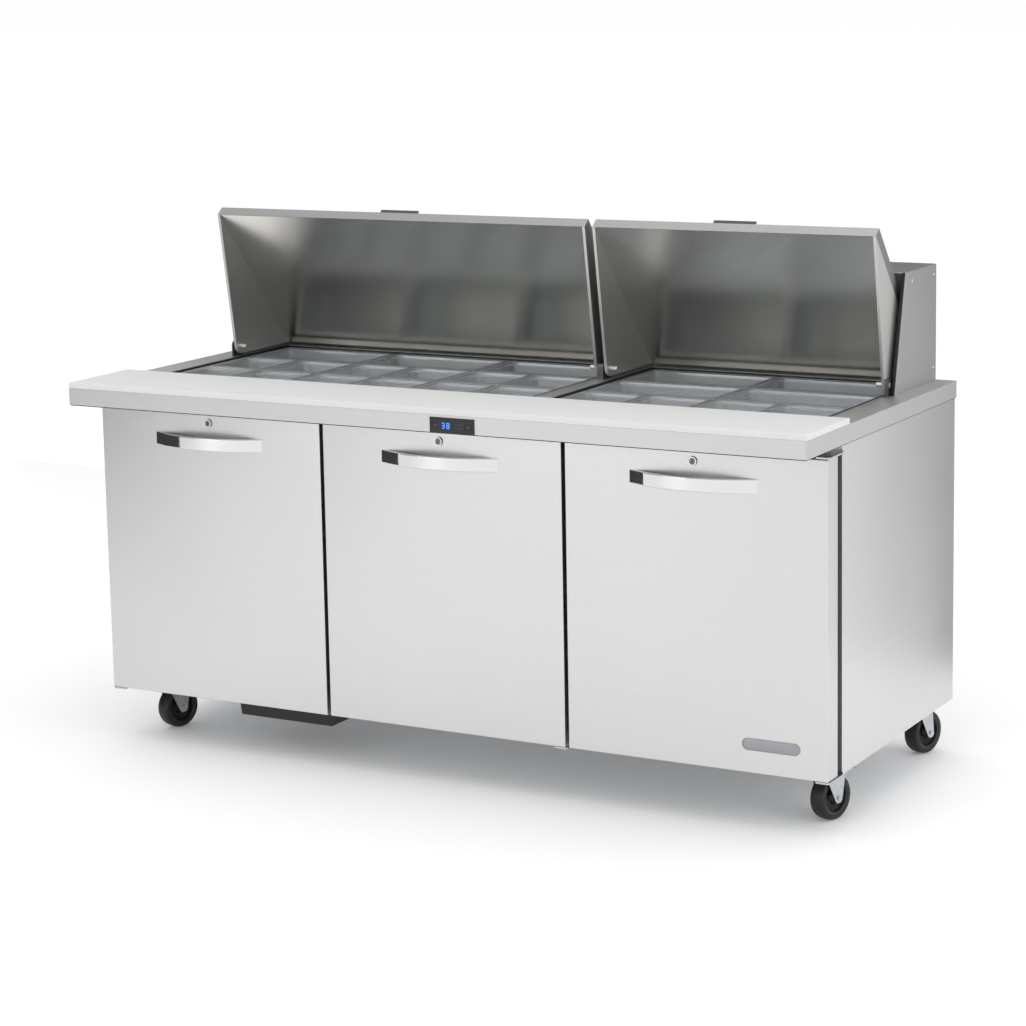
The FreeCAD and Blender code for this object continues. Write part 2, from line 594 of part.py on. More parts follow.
def shelf_pilasters():
    """Upright slotted strips with a clip under each shelf corner."""
    spans = shelf_spans()
    solids = []
    front = CABINET_FRONT + FRAME_DEPTH
    clip_top = SHELF_HEIGHT
    for index, (x0, x1) in enumerate(spans):
        for x, inward in ((x0, 1), (x1, -1)):
            start = x + inward * SHELF_CLEAR * (1 if abs(x) > INNER_HALF - 1 else 0.5)
            edge = start + inward * PILASTER_WIDTH
            low = min(start, edge)
            high = max(start, edge)
            base = MACHINE_TOP + MACHINE_WALL + LINER if index == 0 else INNER_FLOOR
            if index == 1 and inward == 1:
                base = MACHINE_TOP + MACHINE_WALL + LINER
            strip = box(low, high, front, front + PILASTER_DEPTH, INNER_FLOOR, WELL_BASE - WELL_FLOOR)
            clip = box(low, high, front + PILASTER_DEPTH, front + PILASTER_DEPTH + SHELF_CLEAR + SHELF_ROD,
                       clip_top - SHELF_ROD, clip_top)
            solids.extend([strip, clip])
            strip = box(low, high, INNER_REAR - PILASTER_DEPTH, INNER_REAR, base, WELL_BASE - WELL_FLOOR)
            clip = box(low, high, INNER_REAR - PILASTER_DEPTH - SHELF_CLEAR - SHELF_ROD,
                       INNER_REAR - PILASTER_DEPTH, clip_top - SHELF_ROD, clip_top)
            solids.extend([strip, clip])
    save("shelf_pilasters", solids)


def hinge_x(index):
    return DOOR_CENTRES[index] + HINGE_SIDES[index] * (DOOR_WIDTH / 2 - HINGE_PIN_INSET)


def door_hinges():
    """A plate with a pin above and below each door's hinge edge."""
    solids = []
    for index in range(3):
        x = hinge_x(index)
        for z_plate, z_pin in ((DOOR_TOP + HINGE_GAP, -1), (DOOR_BOTTOM - HINGE_GAP - HINGE_PLATE, 1)):
            x0, x1 = x - HINGE_PLATE_WIDTH / 2, x + HINGE_PLATE_WIDTH / 2
            plate = box(x0, x1, HINGE_D - HINGE_PLATE_AHEAD, CABINET_FRONT, z_plate, z_plate + HINGE_PLATE)
            plate = round_edges(plate, 6.0, lambda edge: runs_along(edge, "z")
                                and edge.CenterOfMass.y < y_at(HINGE_D))
            flange_low = z_plate if z_pin < 0 else CABINET_BOTTOM
            flange = box(x0, x1, CABINET_FRONT - SHEET * 2, CABINET_FRONT,
                         min(z_plate, flange_low), max(z_plate, flange_low) + HINGE_PLATE * 2)
            start = z_plate if z_pin < 0 else z_plate + HINGE_PLATE
            pin = rod((x, HINGE_D, start), (x, HINGE_D, start + z_pin * HINGE_PIN_ENGAGE), HINGE_PIN_RADIUS)
            solids.append(join([plate, flange, pin]))
    save("door_hinges", solids)


def door_bores(index):
    """Start, end and radius of each bore: two hinge pins, the lock barrel and the lock's cam."""
    centre = DOOR_CENTRES[index]
    x = hinge_x(index)
    deep = HINGE_PIN_ENGAGE + 2
    pin = HINGE_PIN_RADIUS + RUNNING_FIT
    z = WORKTOP_HEIGHT - LOCK_DROP
    barrel_end = DOOR_FRONT + LOCK_LENGTH
    cam_end = barrel_end + LOCK_CAM_THICK + 2 * LOCK_GAP
    return [((x, HINGE_D, DOOR_TOP + 1), (x, HINGE_D, DOOR_TOP - deep), pin),
            ((x, HINGE_D, DOOR_BOTTOM - 1), (x, HINGE_D, DOOR_BOTTOM + deep), pin),
            ((centre, DOOR_FRONT - 1, z), (centre, barrel_end + 1, z), LOCK_RADIUS + RUNNING_FIT),
            ((centre, barrel_end, z), (centre, cam_end, z), LOCK_CAM + 1)]


def door_panel(index):
    """Hollow steel door with solid bosses around its hinge pins and its lock."""
    centre = DOOR_CENTRES[index]
    x0, x1 = centre - DOOR_WIDTH / 2, centre + DOOR_WIDTH / 2
    slab = box(x0, x1, DOOR_FRONT, DOOR_REAR, DOOR_BOTTOM, DOOR_TOP)
    slab = round_edges(slab, DOOR_EDGE, lambda edge: edge.CenterOfMass.y < y_at(DOOR_FRONT) + 0.1)
    t = DOOR_SKIN
    foam_space = box(x0 + t, x1 - t, DOOR_FRONT + t, DOOR_REAR - t, DOOR_BOTTOM + t, DOOR_TOP - t)
    bores = [rod(start, end, radius) for start, end, radius in door_bores(index)]
    for start, end, radius in door_bores(index):
        foam_space = foam_space.cut(boss(start, end, radius))
    slab = slab.cut(foam_space)
    for bore in bores:
        slab = slab.cut(bore)
    return slab


def boss(start, end, radius):
    """The solid round a bore, past its blind end by the same wall."""
    run = [b - a for a, b in zip(start, end)]
    length = math.sqrt(sum(step * step for step in run))
    past = [b + step / length * DOOR_BOSS for b, step in zip(end, run)]
    return rod(start, past, radius + DOOR_BOSS)


def door_gasket(index):
    """Four soft strips around the back of the door."""
    centre = DOOR_CENTRES[index]
    x0 = centre - DOOR_WIDTH / 2 + GASKET_INSET
    x1 = centre + DOOR_WIDTH / 2 - GASKET_INSET
    z0 = DOOR_BOTTOM + GASKET_INSET
    z1 = DOOR_TOP - GASKET_INSET
    rear = CABINET_FRONT - GASKET_GAP
    return [box(x0, x0 + GASKET_WIDTH, DOOR_REAR, rear, z0, z1),
            box(x1 - GASKET_WIDTH, x1, DOOR_REAR, rear, z0, z1),
            box(x0 + GASKET_WIDTH, x1 - GASKET_WIDTH, DOOR_REAR, rear, z0, z0 + GASKET_WIDTH),
            box(x0 + GASKET_WIDTH, x1 - GASKET_WIDTH, DOOR_REAR, rear, z1 - GASKET_WIDTH, z1)]


def door_handle(index):
    """A strap bowed out from the door, its ends seated on the face."""
    centre = DOOR_CENTRES[index]
    z = WORKTOP_HEIGHT - HANDLE_DROP - HANDLE_HEIGHT / 2

    def bow(half, depth):
        ends = [FreeCAD.Vector(centre + side * half, y_at(DOOR_FRONT), z) for side in (-1, 1)]
        top = FreeCAD.Vector(centre, y_at(DOOR_FRONT - depth), z)
        return Part.Arc(ends[0], top, ends[1]).toShape(), ends

    outer, outer_ends = bow(HANDLE_LENGTH / 2, HANDLE_BOW)
    inner, inner_ends = bow(HANDLE_LENGTH / 2 - HANDLE_FOOT, HANDLE_BOW - HANDLE_THICK)
    feet = [Part.LineSegment(a, b).toShape() for a, b in zip(outer_ends, inner_ends)]
    face = Part.Face(Part.Wire([outer, feet[1], inner, feet[0]]))
    return face.extrude(FreeCAD.Vector(0, 0, HANDLE_HEIGHT))


def door_lock(index):
    """Key barrel with its cam."""
    centre = DOOR_CENTRES[index]
    z = WORKTOP_HEIGHT - LOCK_DROP
    barrel_end = DOOR_FRONT + LOCK_LENGTH + LOCK_GAP
    barrel = rod((centre, DOOR_FRONT - LOCK_PROUD, z), (centre, barrel_end, z), LOCK_RADIUS)
    face = DOOR_FRONT - LOCK_PROUD
    half_slot = LOCK_SLOT / 2
    half_wide = LOCK_SLOT / 10
    slot = box(centre - half_wide, centre + half_wide, face, face + LOCK_SLOT, z - half_slot, z + half_slot)
    half_cam = LOCK_CAM * 0.4
    cam = box(centre - half_cam, centre + half_cam, barrel_end, barrel_end + LOCK_CAM_THICK,
              z - half_cam, z + LOCK_CAM - 1)
    return join([barrel.cut(slot), cam])


def doors():
    for index, name in enumerate(DOOR_NAMES):
        save("door_" + name + "_panel", [door_panel(index)])
        save("door_" + name + "_gasket", door_gasket(index))
        save("door_" + name + "_handle", [door_handle(index)])
        save("lock_" + name, [door_lock(index)])


def control_body():
    """The part of the controller that sits behind the apron."""
    half_width = CONTROL_WIDTH / 2 - CONTROL_STEP
    half_height = CONTROL_HEIGHT / 2 - CONTROL_STEP
    z = WORKTOP_HEIGHT - CONTROL_DROP
    return box(CONTROL_CENTRE - half_width, CONTROL_CENTRE + half_width, 0, CONTROL_BODY,
               z - half_height, z + half_height)


def key_box(side, gap, front, rear):
    x = CONTROL_CENTRE + side * KEY_OFFSET
    z = WORKTOP_HEIGHT - CONTROL_DROP
    return box(x - KEY_WIDTH / 2 - gap, x + KEY_WIDTH / 2 + gap, front, rear,
               z - KEY_HEIGHT / 2 - gap, z + KEY_HEIGHT / 2 + gap)


def controller():
    """Flush housing behind a proud bezel, with a key pocket at each end."""
    x0, x1 = CONTROL_CENTRE - CONTROL_WIDTH / 2, CONTROL_CENTRE + CONTROL_WIDTH / 2
    z = WORKTOP_HEIGHT - CONTROL_DROP
    bezel = box(x0, x1, -CONTROL_PROUD, 0, z - CONTROL_HEIGHT / 2, z + CONTROL_HEIGHT / 2)
    bezel = round_edges(bezel, 1.2, lambda edge: edge.CenterOfMass.y < y_at(-CONTROL_PROUD) + 0.1)
    housing = join([bezel, control_body()])
    for side, name in ((-1, "key_down"), (1, "key_up")):
        pocket_end = -CONTROL_PROUD + KEY_DEEP + KEY_TRAVEL
        housing = housing.cut(key_box(side, KEY_GAP, -CONTROL_PROUD - 1, pocket_end))
        save(name, [key_box(side, 0, -CONTROL_PROUD, -CONTROL_PROUD + KEY_DEEP)])
    save("controller_housing", [housing])


def lid_point(along, up):
    """Turns a closed-lid point (behind the pivot, above it) to the open position, as (d, z)."""
    turn = math.radians(LID_OPEN_ANGLE)
    back = along * math.cos(turn) + up * math.sin(turn)
    rise = -along * math.sin(turn) + up * math.cos(turn)
    return LID_PIVOT_D + back, LID_PIVOT_Z + rise


def lid_slab(x0, x1, low, high, front, rear):
    """A slab parallel to the lid's slope: low and high are heights off its underside."""
    cos, sin = math.cos(LID_SLOPE), math.sin(LID_SLOPE)
    length = math.hypot(LID_REACH + LID_BACK, LID_RISE + LID_WALL_DROP)
    points = []
    for run, height in ((front, low), (length - rear, low), (length - rear, high), (front, high)):
        along = -LID_REACH + run * cos - height * sin
        up = -LID_WALL_DROP + run * sin + height * cos
        points.append(lid_point(along, up))
    return plate_x(points, x0, x1)


def lid(name, x0, x1):
    """Insulated sloping panel on two wedge-shaped walls that turn on pins."""
    shell = lid_slab(x0, x1, 0, LID_PANEL, 0, 0)
    core_space = lid_slab(x0 + SHEET, x1 - SHEET, -1, LID_PANEL - SHEET, SHEET, SHEET)
    save("lid_" + name + "_shell", [shell.cut(core_space)])
    liner = lid_slab(x0 + SHEET, x1 - SHEET, 0, LID_PANEL - SHEET, SHEET, SHEET)
    edge = SHEET + LID_SKIN
    foam_space = lid_slab(x0 + edge, x1 - edge, LID_SKIN, LID_PANEL - edge, edge, edge)
    save("lid_" + name + "_liner", [liner.cut(foam_space)])
    corner = LID_WALL_DROP
    heel = []
    rear_angle = math.degrees(math.atan2(-LID_BACK, LID_RISE))
    for step in range(7):
        angle = math.radians(-90 + step * (90 + rear_angle) / 6)
        heel.append(lid_point(corner * math.cos(angle), corner * math.sin(angle)))
    outline = [lid_point(-LID_REACH, -LID_WALL_DROP)] + heel + [lid_point(LID_BACK, LID_RISE)]
    walls = [plate_x(outline, x0, x0 + LID_WALL), plate_x(outline, x1 - LID_WALL, x1)]
    reach = LID_SIDE_GAP + PIVOT_PLATE
    ends = []
    for wall, x, side in ((walls[0], x0, -1), (walls[1], x1, 1)):
        inner = x - side * (LID_WALL + LID_PIN_INSIDE)
        at_end = abs(x) > LID_HALF - 1
        outer = x + side * (reach if at_end else (LID_GAP - LID_PIN_GAP) / 2)
        pin = rod((inner, LID_PIVOT_D, LID_PIVOT_Z), (outer, LID_PIVOT_D, LID_PIVOT_Z), LID_PIN_RADIUS)
        ends.append(join([wall, pin]))
    save("lid_" + name + "_ends", ends)
    centre = (x0 + x1) / 2
    half = LID_PULL_LENGTH / 2
    length = math.hypot(LID_REACH + LID_BACK, LID_RISE + LID_WALL_DROP)
    base = lid_slab(centre - half, centre + half, LID_PANEL, LID_PANEL + LID_PULL_THICK,
                    1.0, length - LID_PULL_BASE)
    lip = lid_slab(centre - half, centre + half, LID_PANEL, LID_PANEL + LID_PULL_LIP, 1.0,
                   length - 1.0 - LID_PULL_THICK)
    save("lid_" + name + "_pull", [join([base, lip])])


def cheek_outline(front_step):
    """Side outline of the hood, its sloping front moved back by front_step."""
    return [(HOOD_BOTTOM_FRONT + front_step, WORKTOP_HEIGHT), (HOOD_REAR, WORKTOP_HEIGHT),
            (HOOD_REAR, HOOD_TOP), (HOOD_TOP_FRONT + front_step, HOOD_TOP)]


def hood_panels():
    """Hood skins: a cheek at each end, the back and the top."""
    solids = []
    for side in (-1, 1):
        a, b = side * CHEEK_INNER, side * (CHEEK_INNER + CHEEK_THICK)
        solids.append(plate_x(cheek_outline(CHEEK_TRIM), min(a, b), max(a, b)))
    inner = CHEEK_INNER
    solids.append(box(-inner, inner, HOOD_REAR - SHEET * 2, HOOD_REAR, WORKTOP_HEIGHT, HOOD_TOP - SHEET))
    solids.append(box(-inner, inner, HOOD_TOP_FRONT, HOOD_REAR, HOOD_TOP - SHEET, HOOD_TOP))
    save("hood_panels", solids)


def hood_trims():
    """Black strips along the cheeks' sloping front edges."""
    solids = []
    slope_points = [(HOOD_BOTTOM_FRONT, WORKTOP_HEIGHT), (HOOD_BOTTOM_FRONT + CHEEK_TRIM, WORKTOP_HEIGHT),
                    (HOOD_TOP_FRONT + CHEEK_TRIM, HOOD_TOP), (HOOD_TOP_FRONT, HOOD_TOP)]
    for side in (-1, 1):
        a, b = side * CHEEK_INNER, side * (CHEEK_INNER + CHEEK_THICK)
        solids.append(plate_x(slope_points, min(a, b), max(a, b)))
    save("hood_trims", solids)


def lid_pivot_brackets():
    """Upright plates on the worktop that carry the lids' pins."""
    spans = [(-LID_HALF - LID_SIDE_GAP - PIVOT_PLATE, -LID_HALF - LID_SIDE_GAP),
             (BRIDGE_CENTRE - LID_GAP / 2 + LID_SIDE_GAP, BRIDGE_CENTRE + LID_GAP / 2 - LID_SIDE_GAP),
             (LID_HALF + LID_SIDE_GAP, LID_HALF + LID_SIDE_GAP + PIVOT_PLATE)]
    solids = []
    for x0, x1 in spans:
        plate = box(x0, x1, LID_PIVOT_D - PIVOT_PLATE_DEEP / 2, LID_PIVOT_D + PIVOT_PLATE_DEEP / 2,
                    WORKTOP_HEIGHT, WORKTOP_HEIGHT + PIVOT_PLATE_TALL)
        plate = round_edges(plate, 10.0, lambda edge: runs_along(edge, "x")
                            and edge.CenterOfMass.z > WORKTOP_HEIGHT + 1)
        bore = rod((x0 - 1, LID_PIVOT_D, LID_PIVOT_Z), (x1 + 1, LID_PIVOT_D, LID_PIVOT_Z),
                   LID_PIN_RADIUS + RUNNING_FIT)
        solids.append(plate.cut(bore))
    save("lid_pivot_brackets", solids)


def rear_bumpers():
    solids = []
    for side in (-1, 1):
        x = side * (HALF_LENGTH - BUMPER_INSET)
        z = WORKTOP_HEIGHT + BUMPER_RISE
        bumper = rod((x, HOOD_REAR, z), (x, HOOD_REAR + REAR_BUMPER_LENGTH, z), BUMPER_RADIUS)
        solids.append(round_edges(bumper, 3.0, lambda edge: edge.CenterOfMass.y > y_at(HOOD_REAR) + 8))
    save("rear_bumpers", solids)


def caster_places():
    return [("front_left", -CASTER_X, CASTER_FRONT), ("front_right", CASTER_X, CASTER_FRONT),
            ("rear_left", -CASTER_X, CASTER_REAR), ("rear_right", CASTER_X, CASTER_REAR)]


def caster_plates():
    """Mounting plates bolted under the cabinet, each with its kingpin."""
    solids = []
    top = CABINET_BOTTOM
    for name, x, d in caster_places():
        plate = box(x - CASTER_PLATE_WIDE / 2, x + CASTER_PLATE_WIDE / 2, d - CASTER_PLATE_LONG / 2,
                    d + CASTER_PLATE_LONG / 2, top - CASTER_PLATE, top)
        plate = round_edges(plate, 8.0, lambda edge: runs_along(edge, "z"))
        pin = rod((x, d, FORK_TOP_Z - FORK_TOP - 2), (x, d, top - 1), KINGPIN_RADIUS)
        solids.append(join([plate, pin]))
    save("caster_plates", solids)


def caster_fork(x, d, braked):
    """Pressed fork: a round top, two legs and the riveted axle."""
    low = FORK_TOP_Z - FORK_TOP
    axle_d = d + CASTER_TRAIL
    crown = rod((x, d, low), (x, d, FORK_TOP_Z), FORK_TOP_RADIUS)
    pieces = [crown]
    back = BRAKE_PIN_BACK + BRAKE_EAR if braked else FORK_BACK
    ear, tip = AXLE_EAR, AXLE_EAR / 2
    for side in (-1, 1):
        a = x + side * FORK_HALF
        b = x + side * (FORK_HALF + FORK_LEG)
        outline = [(d - FORK_FRONT, FORK_TOP_Z), (d + back, FORK_TOP_Z), (d + back, low - FORK_SKIRT),
                   (axle_d + ear, WHEEL_RADIUS - tip), (axle_d + tip, WHEEL_RADIUS - ear),
                   (axle_d - tip, WHEEL_RADIUS - ear), (axle_d - ear, WHEEL_RADIUS - tip)]
        leg = plate_x(outline, min(a, b), max(a, b))
        pieces.append(leg)
    pieces.append(box(x - FORK_HALF - FORK_LEG, x + FORK_HALF + FORK_LEG, d - FORK_FRONT, d + FORK_TOP_RADIUS,
                      low, FORK_TOP_Z))
    reach = FORK_HALF + FORK_LEG + 3
    pieces.append(rod((x - reach, axle_d, WHEEL_RADIUS), (x + reach, axle_d, WHEEL_RADIUS), AXLE_RADIUS))
    fork = join(pieces)
    fork = fork.cut(rod((x, d, low - 1), (x, d, FORK_TOP_Z + 1), KINGPIN_RADIUS + RUNNING_FIT))
    if braked:
        pin = (d + BRAKE_PIN_BACK, BRAKE_PIN_RISE)
        fork = fork.cut(rod((x - reach, pin[0], pin[1]), (x + reach, pin[0], pin[1]),
                            BRAKE_PIN_RADIUS + RUNNING_FIT))
    return fork


def caster_wheel(x, d):
    """Rubber tyre on a moulded hub, bored for the axle."""
    axle_d = d + CASTER_TRAIL
    half = WHEEL_WIDTH / 2
    tyre = rod((x - half, axle_d, WHEEL_RADIUS), (x + half, axle_d, WHEEL_RADIUS), WHEEL_RADIUS)
    tyre = round_edges(tyre, WHEEL_ROUND, lambda edge: abs(edge.Length - 2 * math.pi * WHEEL_RADIUS) < 1)
    seat = rod((x - half - 1, axle_d, WHEEL_RADIUS), (x + half + 1, axle_d, WHEEL_RADIUS), HUB_RADIUS)
    hub = rod((x - half - 1, axle_d, WHEEL_RADIUS), (x + half + 1, axle_d, WHEEL_RADIUS), HUB_RADIUS)
    bore = rod((x - half - 2, axle_d, WHEEL_RADIUS), (x + half + 2, axle_d, WHEEL_RADIUS),
               AXLE_RADIUS + RUNNING_FIT)
    return [tyre.cut(seat), hub.cut(bore)]


def caster_brake(x, d):
    """Foot lever on a pin between the fork's legs."""
    pin_d = d + BRAKE_PIN_BACK
    half = FORK_HALF - 1.0
    lever = box(x - half, x + half, pin_d, pin_d + BRAKE_LENGTH,
                BRAKE_PIN_RISE - BRAKE_THICK / 2, BRAKE_PIN_RISE + BRAKE_THICK / 2)
    lever = round_edges(lever, 8.0, lambda edge: runs_along(edge, "z")
                        and edge.CenterOfMass.y > y_at(pin_d + BRAKE_LENGTH / 2))
    boss = rod((x - half, pin_d, BRAKE_PIN_RISE), (x + half, pin_d, BRAKE_PIN_RISE), BRAKE_PIN_RADIUS + 0.6)
    reach = FORK_HALF + FORK_LEG
    pin = rod((x - reach, pin_d, BRAKE_PIN_RISE), (x + reach, pin_d, BRAKE_PIN_RISE), BRAKE_PIN_RADIUS)
    return join([lever, boss, pin])


def swung(shapes, x, d):
    """The shapes turned with their fork about its swivel axis."""
    turned = [shape.copy() for shape in shapes]
    for shape in turned:
        shape.rotate(FreeCAD.Vector(x, y_at(d), 0), FreeCAD.Vector(0, 0, 1), CASTER_TURN)
    return turned


def casters():
    for name, x, d in caster_places():
        braked = name.startswith("front")
        save("caster_" + name + "_fork", swung([caster_fork(x, d, braked)], x, d))
        save("caster_" + name + "_wheel", swung(caster_wheel(x, d), x, d))
        if braked:
            save("caster_" + name + "_brake", swung([caster_brake(x, d)], x, d))


def fan(x, d, z):
    """Hub with flat pitched blades, turning about Y."""
    pieces = [rod((x, d, z), (x, d + FAN_DEPTH, z), FAN_HUB_RADIUS)]
    for blade in range(FAN_BLADES):
        plate = box(FAN_HUB_RADIUS - 3, FAN_RADIUS, -1.0, 1.0, -17.0, 17.0)
        plate.translate(FreeCAD.Vector(0, -Y_SHIFT, 0))
        plate.rotate(FreeCAD.Vector(0, 0, 0), FreeCAD.Vector(1, 0, 0), 24)
        plate.rotate(FreeCAD.Vector(0, 0, 0), FreeCAD.Vector(0, 1, 0), blade * 360 / FAN_BLADES)
        plate.translate(FreeCAD.Vector(x, y_at(d + FAN_DEPTH / 2), z))
        pieces.append(plate)
    return join(pieces)


def cold_coil():
    """Evaporator block at the back of the middle compartment, with its fan in front."""
    top = WELL_BASE - WELL_FLOOR - COIL_TOP_GAP
    low = top - COIL_HEIGHT
    front = INNER_REAR - COIL_DEPTH
    z = (low + top) / 2
    coil = box(-COIL_WIDTH / 2, COIL_WIDTH / 2, front, INNER_REAR, low, top)
    motor = rod((0, front - FAN_GAP, z), (0, front, z), MOTOR_RADIUS)
    save("evaporator_coil", [join([coil, motor])])
    save("evaporator_fan", [fan(0, front - FAN_GAP - FAN_CLEAR - FAN_DEPTH, z)])


def condensing_unit():
    """Compressor, condenser with its fan, and the grille behind them."""
    floor = CABINET_BOTTOM + BOTTOM_PLATE
    middle_d = (MACHINE_FRONT + MACHINE_REAR) / 2
    x = MACHINE_LEFT + COMPRESSOR_SIDE + COMPRESSOR_RADIUS
    base = floor + COMPRESSOR_LIFT
    can = rod((x, middle_d, base), (x, middle_d, base + COMPRESSOR_HEIGHT), COMPRESSOR_RADIUS)
    can = round_edges(can, COMPRESSOR_ROUND, lambda edge: len(edge.Vertexes) == 1)
    long, wide = FOOT_BAR_HALF_LONG, FOOT_BAR_HALF_WIDE
    bar_low = floor + FOOT_BAR_THICK
    feet = box(x - long, x + long, middle_d - wide, middle_d + wide, bar_low, bar_low + FOOT_BAR_THICK)
    pads = []
    for sx in (-1, 1):
        for sd in (-1, 1):
            pad_x = x + sx * (long - FOOT_PAD_RADIUS - FOOT_PAD_LAP)
            pad_d = middle_d + sd * (wide - FOOT_PAD_RADIUS - FOOT_PAD_LAP)
            pads.append(rod((pad_x, pad_d, floor), (pad_x, pad_d, bar_low + FOOT_PAD_LAP), FOOT_PAD_RADIUS))
    save("compressor", [join([can, feet] + pads)])
    left = GRILLE_RIGHT - CONDENSER_SIDE - CONDENSER_WIDTH
    rear = MACHINE_REAR - CONDENSER_REAR
    coil = box(left, left + CONDENSER_WIDTH, rear - CONDENSER_DEPTH, rear, floor, floor + CONDENSER_HEIGHT)
    centre = left + CONDENSER_WIDTH / 2
    z = floor + CONDENSER_HEIGHT / 2
    front = rear - CONDENSER_DEPTH
    motor = rod((centre, front - FAN_GAP, z), (centre, front, z), MOTOR_RADIUS)
    save("condenser_coil", [join([coil, motor])])
    save("condenser_fan", [fan(centre, front - FAN_GAP - FAN_CLEAR - FAN_DEPTH, z)])
    x0, x1 = MACHINE_LEFT + GRILLE_MARGIN / 2, GRILLE_RIGHT - GRILLE_MARGIN / 2
    z0, z1 = floor + GRILLE_MARGIN / 2, MACHINE_TOP - GRILLE_MARGIN / 2
    grille = box(x0, x1, MACHINE_REAR - SHEET, MACHINE_REAR, z0, z1)
    pitch = (z1 - z0 - 2 * GRILLE_MARGIN) / GRILLE_SLOTS
    middle = (x0 + x1) / 2
    for slot in range(GRILLE_SLOTS):
        z = z0 + GRILLE_MARGIN + slot * pitch
        rib_left, rib_right = middle - GRILLE_RIB / 2, middle + GRILLE_RIB / 2
        for a, b in ((x0 + GRILLE_MARGIN, rib_left), (rib_right, x1 - GRILLE_MARGIN)):
            grille = grille.cut(box(a, b, MACHINE_REAR - SHEET - 1, MACHINE_REAR + 1, z, z + pitch / 2))
    save("rear_grille", [grille])


def drain_pan():
    """Shallow black tray with sloping ends hung under the cabinet's front."""
    def tapered(inset, height):
        x0 = DRAIN_PAN_LEFT + inset
        x1 = DRAIN_PAN_LEFT + DRAIN_PAN_WIDTH - inset
        low = CABINET_BOTTOM - height
        outline = [(x0, CABINET_BOTTOM), (x0 + DRAIN_PAN_SLOPE / 4, low), (x1 - DRAIN_PAN_SLOPE, low),
                   (x1, CABINET_BOTTOM)]
        front = CABINET_FRONT + DRAIN_PAN_BACK + inset
        corners = [FreeCAD.Vector(x, y_at(front), z) for x, z in outline]
        face = Part.Face(Part.makePolygon(corners + corners[:1]))
        return face.extrude(FreeCAD.Vector(0, DRAIN_PAN_DEPTH - 2 * inset, 0))

    hollow = tapered(DRAIN_PAN_WALL, DRAIN_PAN_HEIGHT - DRAIN_PAN_WALL)
    save("drain_pan", [tapered(0, DRAIN_PAN_HEIGHT).cut(hollow)])


def cord_gland():
    body = rod((GLAND_X, CABINET_REAR, GLAND_Z), (GLAND_X, CABINET_REAR + GLAND_LENGTH, GLAND_Z), GLAND_RADIUS)
    stem = rod((GLAND_X, MACHINE_REAR - 6, GLAND_Z), (GLAND_X, CABINET_REAR, GLAND_Z), GLAND_RADIUS / 2)
    bore = rod((GLAND_X, MACHINE_REAR - 7, GLAND_Z), (GLAND_X, CABINET_REAR + GLAND_LENGTH + 1, GLAND_Z),
               GLAND_BORE)
    save("cord_gland", [join([body, stem]).cut(bore)])


os.makedirs("parts", exist_ok=True)
side_panels()
back_panel()
bottom_panel()
insulation()
liner_panels()
front_frame()
worktop_front()
worktop_surround()
pan_trim()
pans()
cutting_board()
shelves()
shelf_pilasters()
door_hinges()
doors()
controller()
lid("left", *LEFT_LID)
lid("right", *RIGHT_LID)
hood_panels()
hood_trims()
lid_pivot_brackets()
rear_bumpers()
caster_plates()
casters()
cold_coil()
condensing_unit()
drain_pan()
cord_gland()
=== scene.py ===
import bpy, bmesh, json, math
from mathutils import Matrix, Vector


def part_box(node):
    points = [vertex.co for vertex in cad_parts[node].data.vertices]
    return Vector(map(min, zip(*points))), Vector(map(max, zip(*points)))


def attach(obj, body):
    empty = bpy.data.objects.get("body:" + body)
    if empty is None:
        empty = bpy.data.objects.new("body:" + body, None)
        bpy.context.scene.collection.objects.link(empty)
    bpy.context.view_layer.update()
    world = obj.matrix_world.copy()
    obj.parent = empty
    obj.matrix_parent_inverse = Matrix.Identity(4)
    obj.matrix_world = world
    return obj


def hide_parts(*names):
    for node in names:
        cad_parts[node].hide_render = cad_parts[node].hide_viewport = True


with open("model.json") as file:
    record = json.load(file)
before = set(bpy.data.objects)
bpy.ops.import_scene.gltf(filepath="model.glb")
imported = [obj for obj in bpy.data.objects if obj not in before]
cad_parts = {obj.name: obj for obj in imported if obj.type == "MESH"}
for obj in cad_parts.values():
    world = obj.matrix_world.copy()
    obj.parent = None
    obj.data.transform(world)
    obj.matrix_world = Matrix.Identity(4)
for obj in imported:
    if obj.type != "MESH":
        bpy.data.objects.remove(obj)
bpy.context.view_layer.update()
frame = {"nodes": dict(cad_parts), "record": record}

# --- Camera -------------------------------------------------------------------------------------
# A long lens stands off the table's front right corner, a little above the worktop, and looks
# slightly down across the length of the doors.
yaw, pitch, roll = math.radians(29.043), math.radians(9.209), math.radians(-1.059)
ahead = Vector((-math.sin(yaw) * math.cos(pitch), math.cos(yaw) * math.cos(pitch), -math.sin(pitch)))
level = Vector((math.cos(yaw), math.sin(yaw), 0))
above = level.cross(ahead)
across = level * math.cos(roll) + above * math.sin(roll)
upward = above * math.cos(roll) - level * math.sin(roll)
camera = bpy.data.objects.new("camera", bpy.data.cameras.new("camera"))
camera.data.lens = 96.63
camera.data.sensor_width = 36
camera.data.shift_y = -0.1004
camera.matrix_world = Matrix((across, upward, -ahead)).transposed().to_4x4()
camera.location = (3.029, -5.439, 1.813)
bpy.context.scene.collection.objects.link(camera)
bpy.context.scene.camera = camera

# --- Studio -------------------------------------------------------------------------------------
# A pale floor that runs to the horizon, a large soft light overhead, and softer ones in front and
# on the right. Dark cards at the left and the rear give the steel something to shade against.


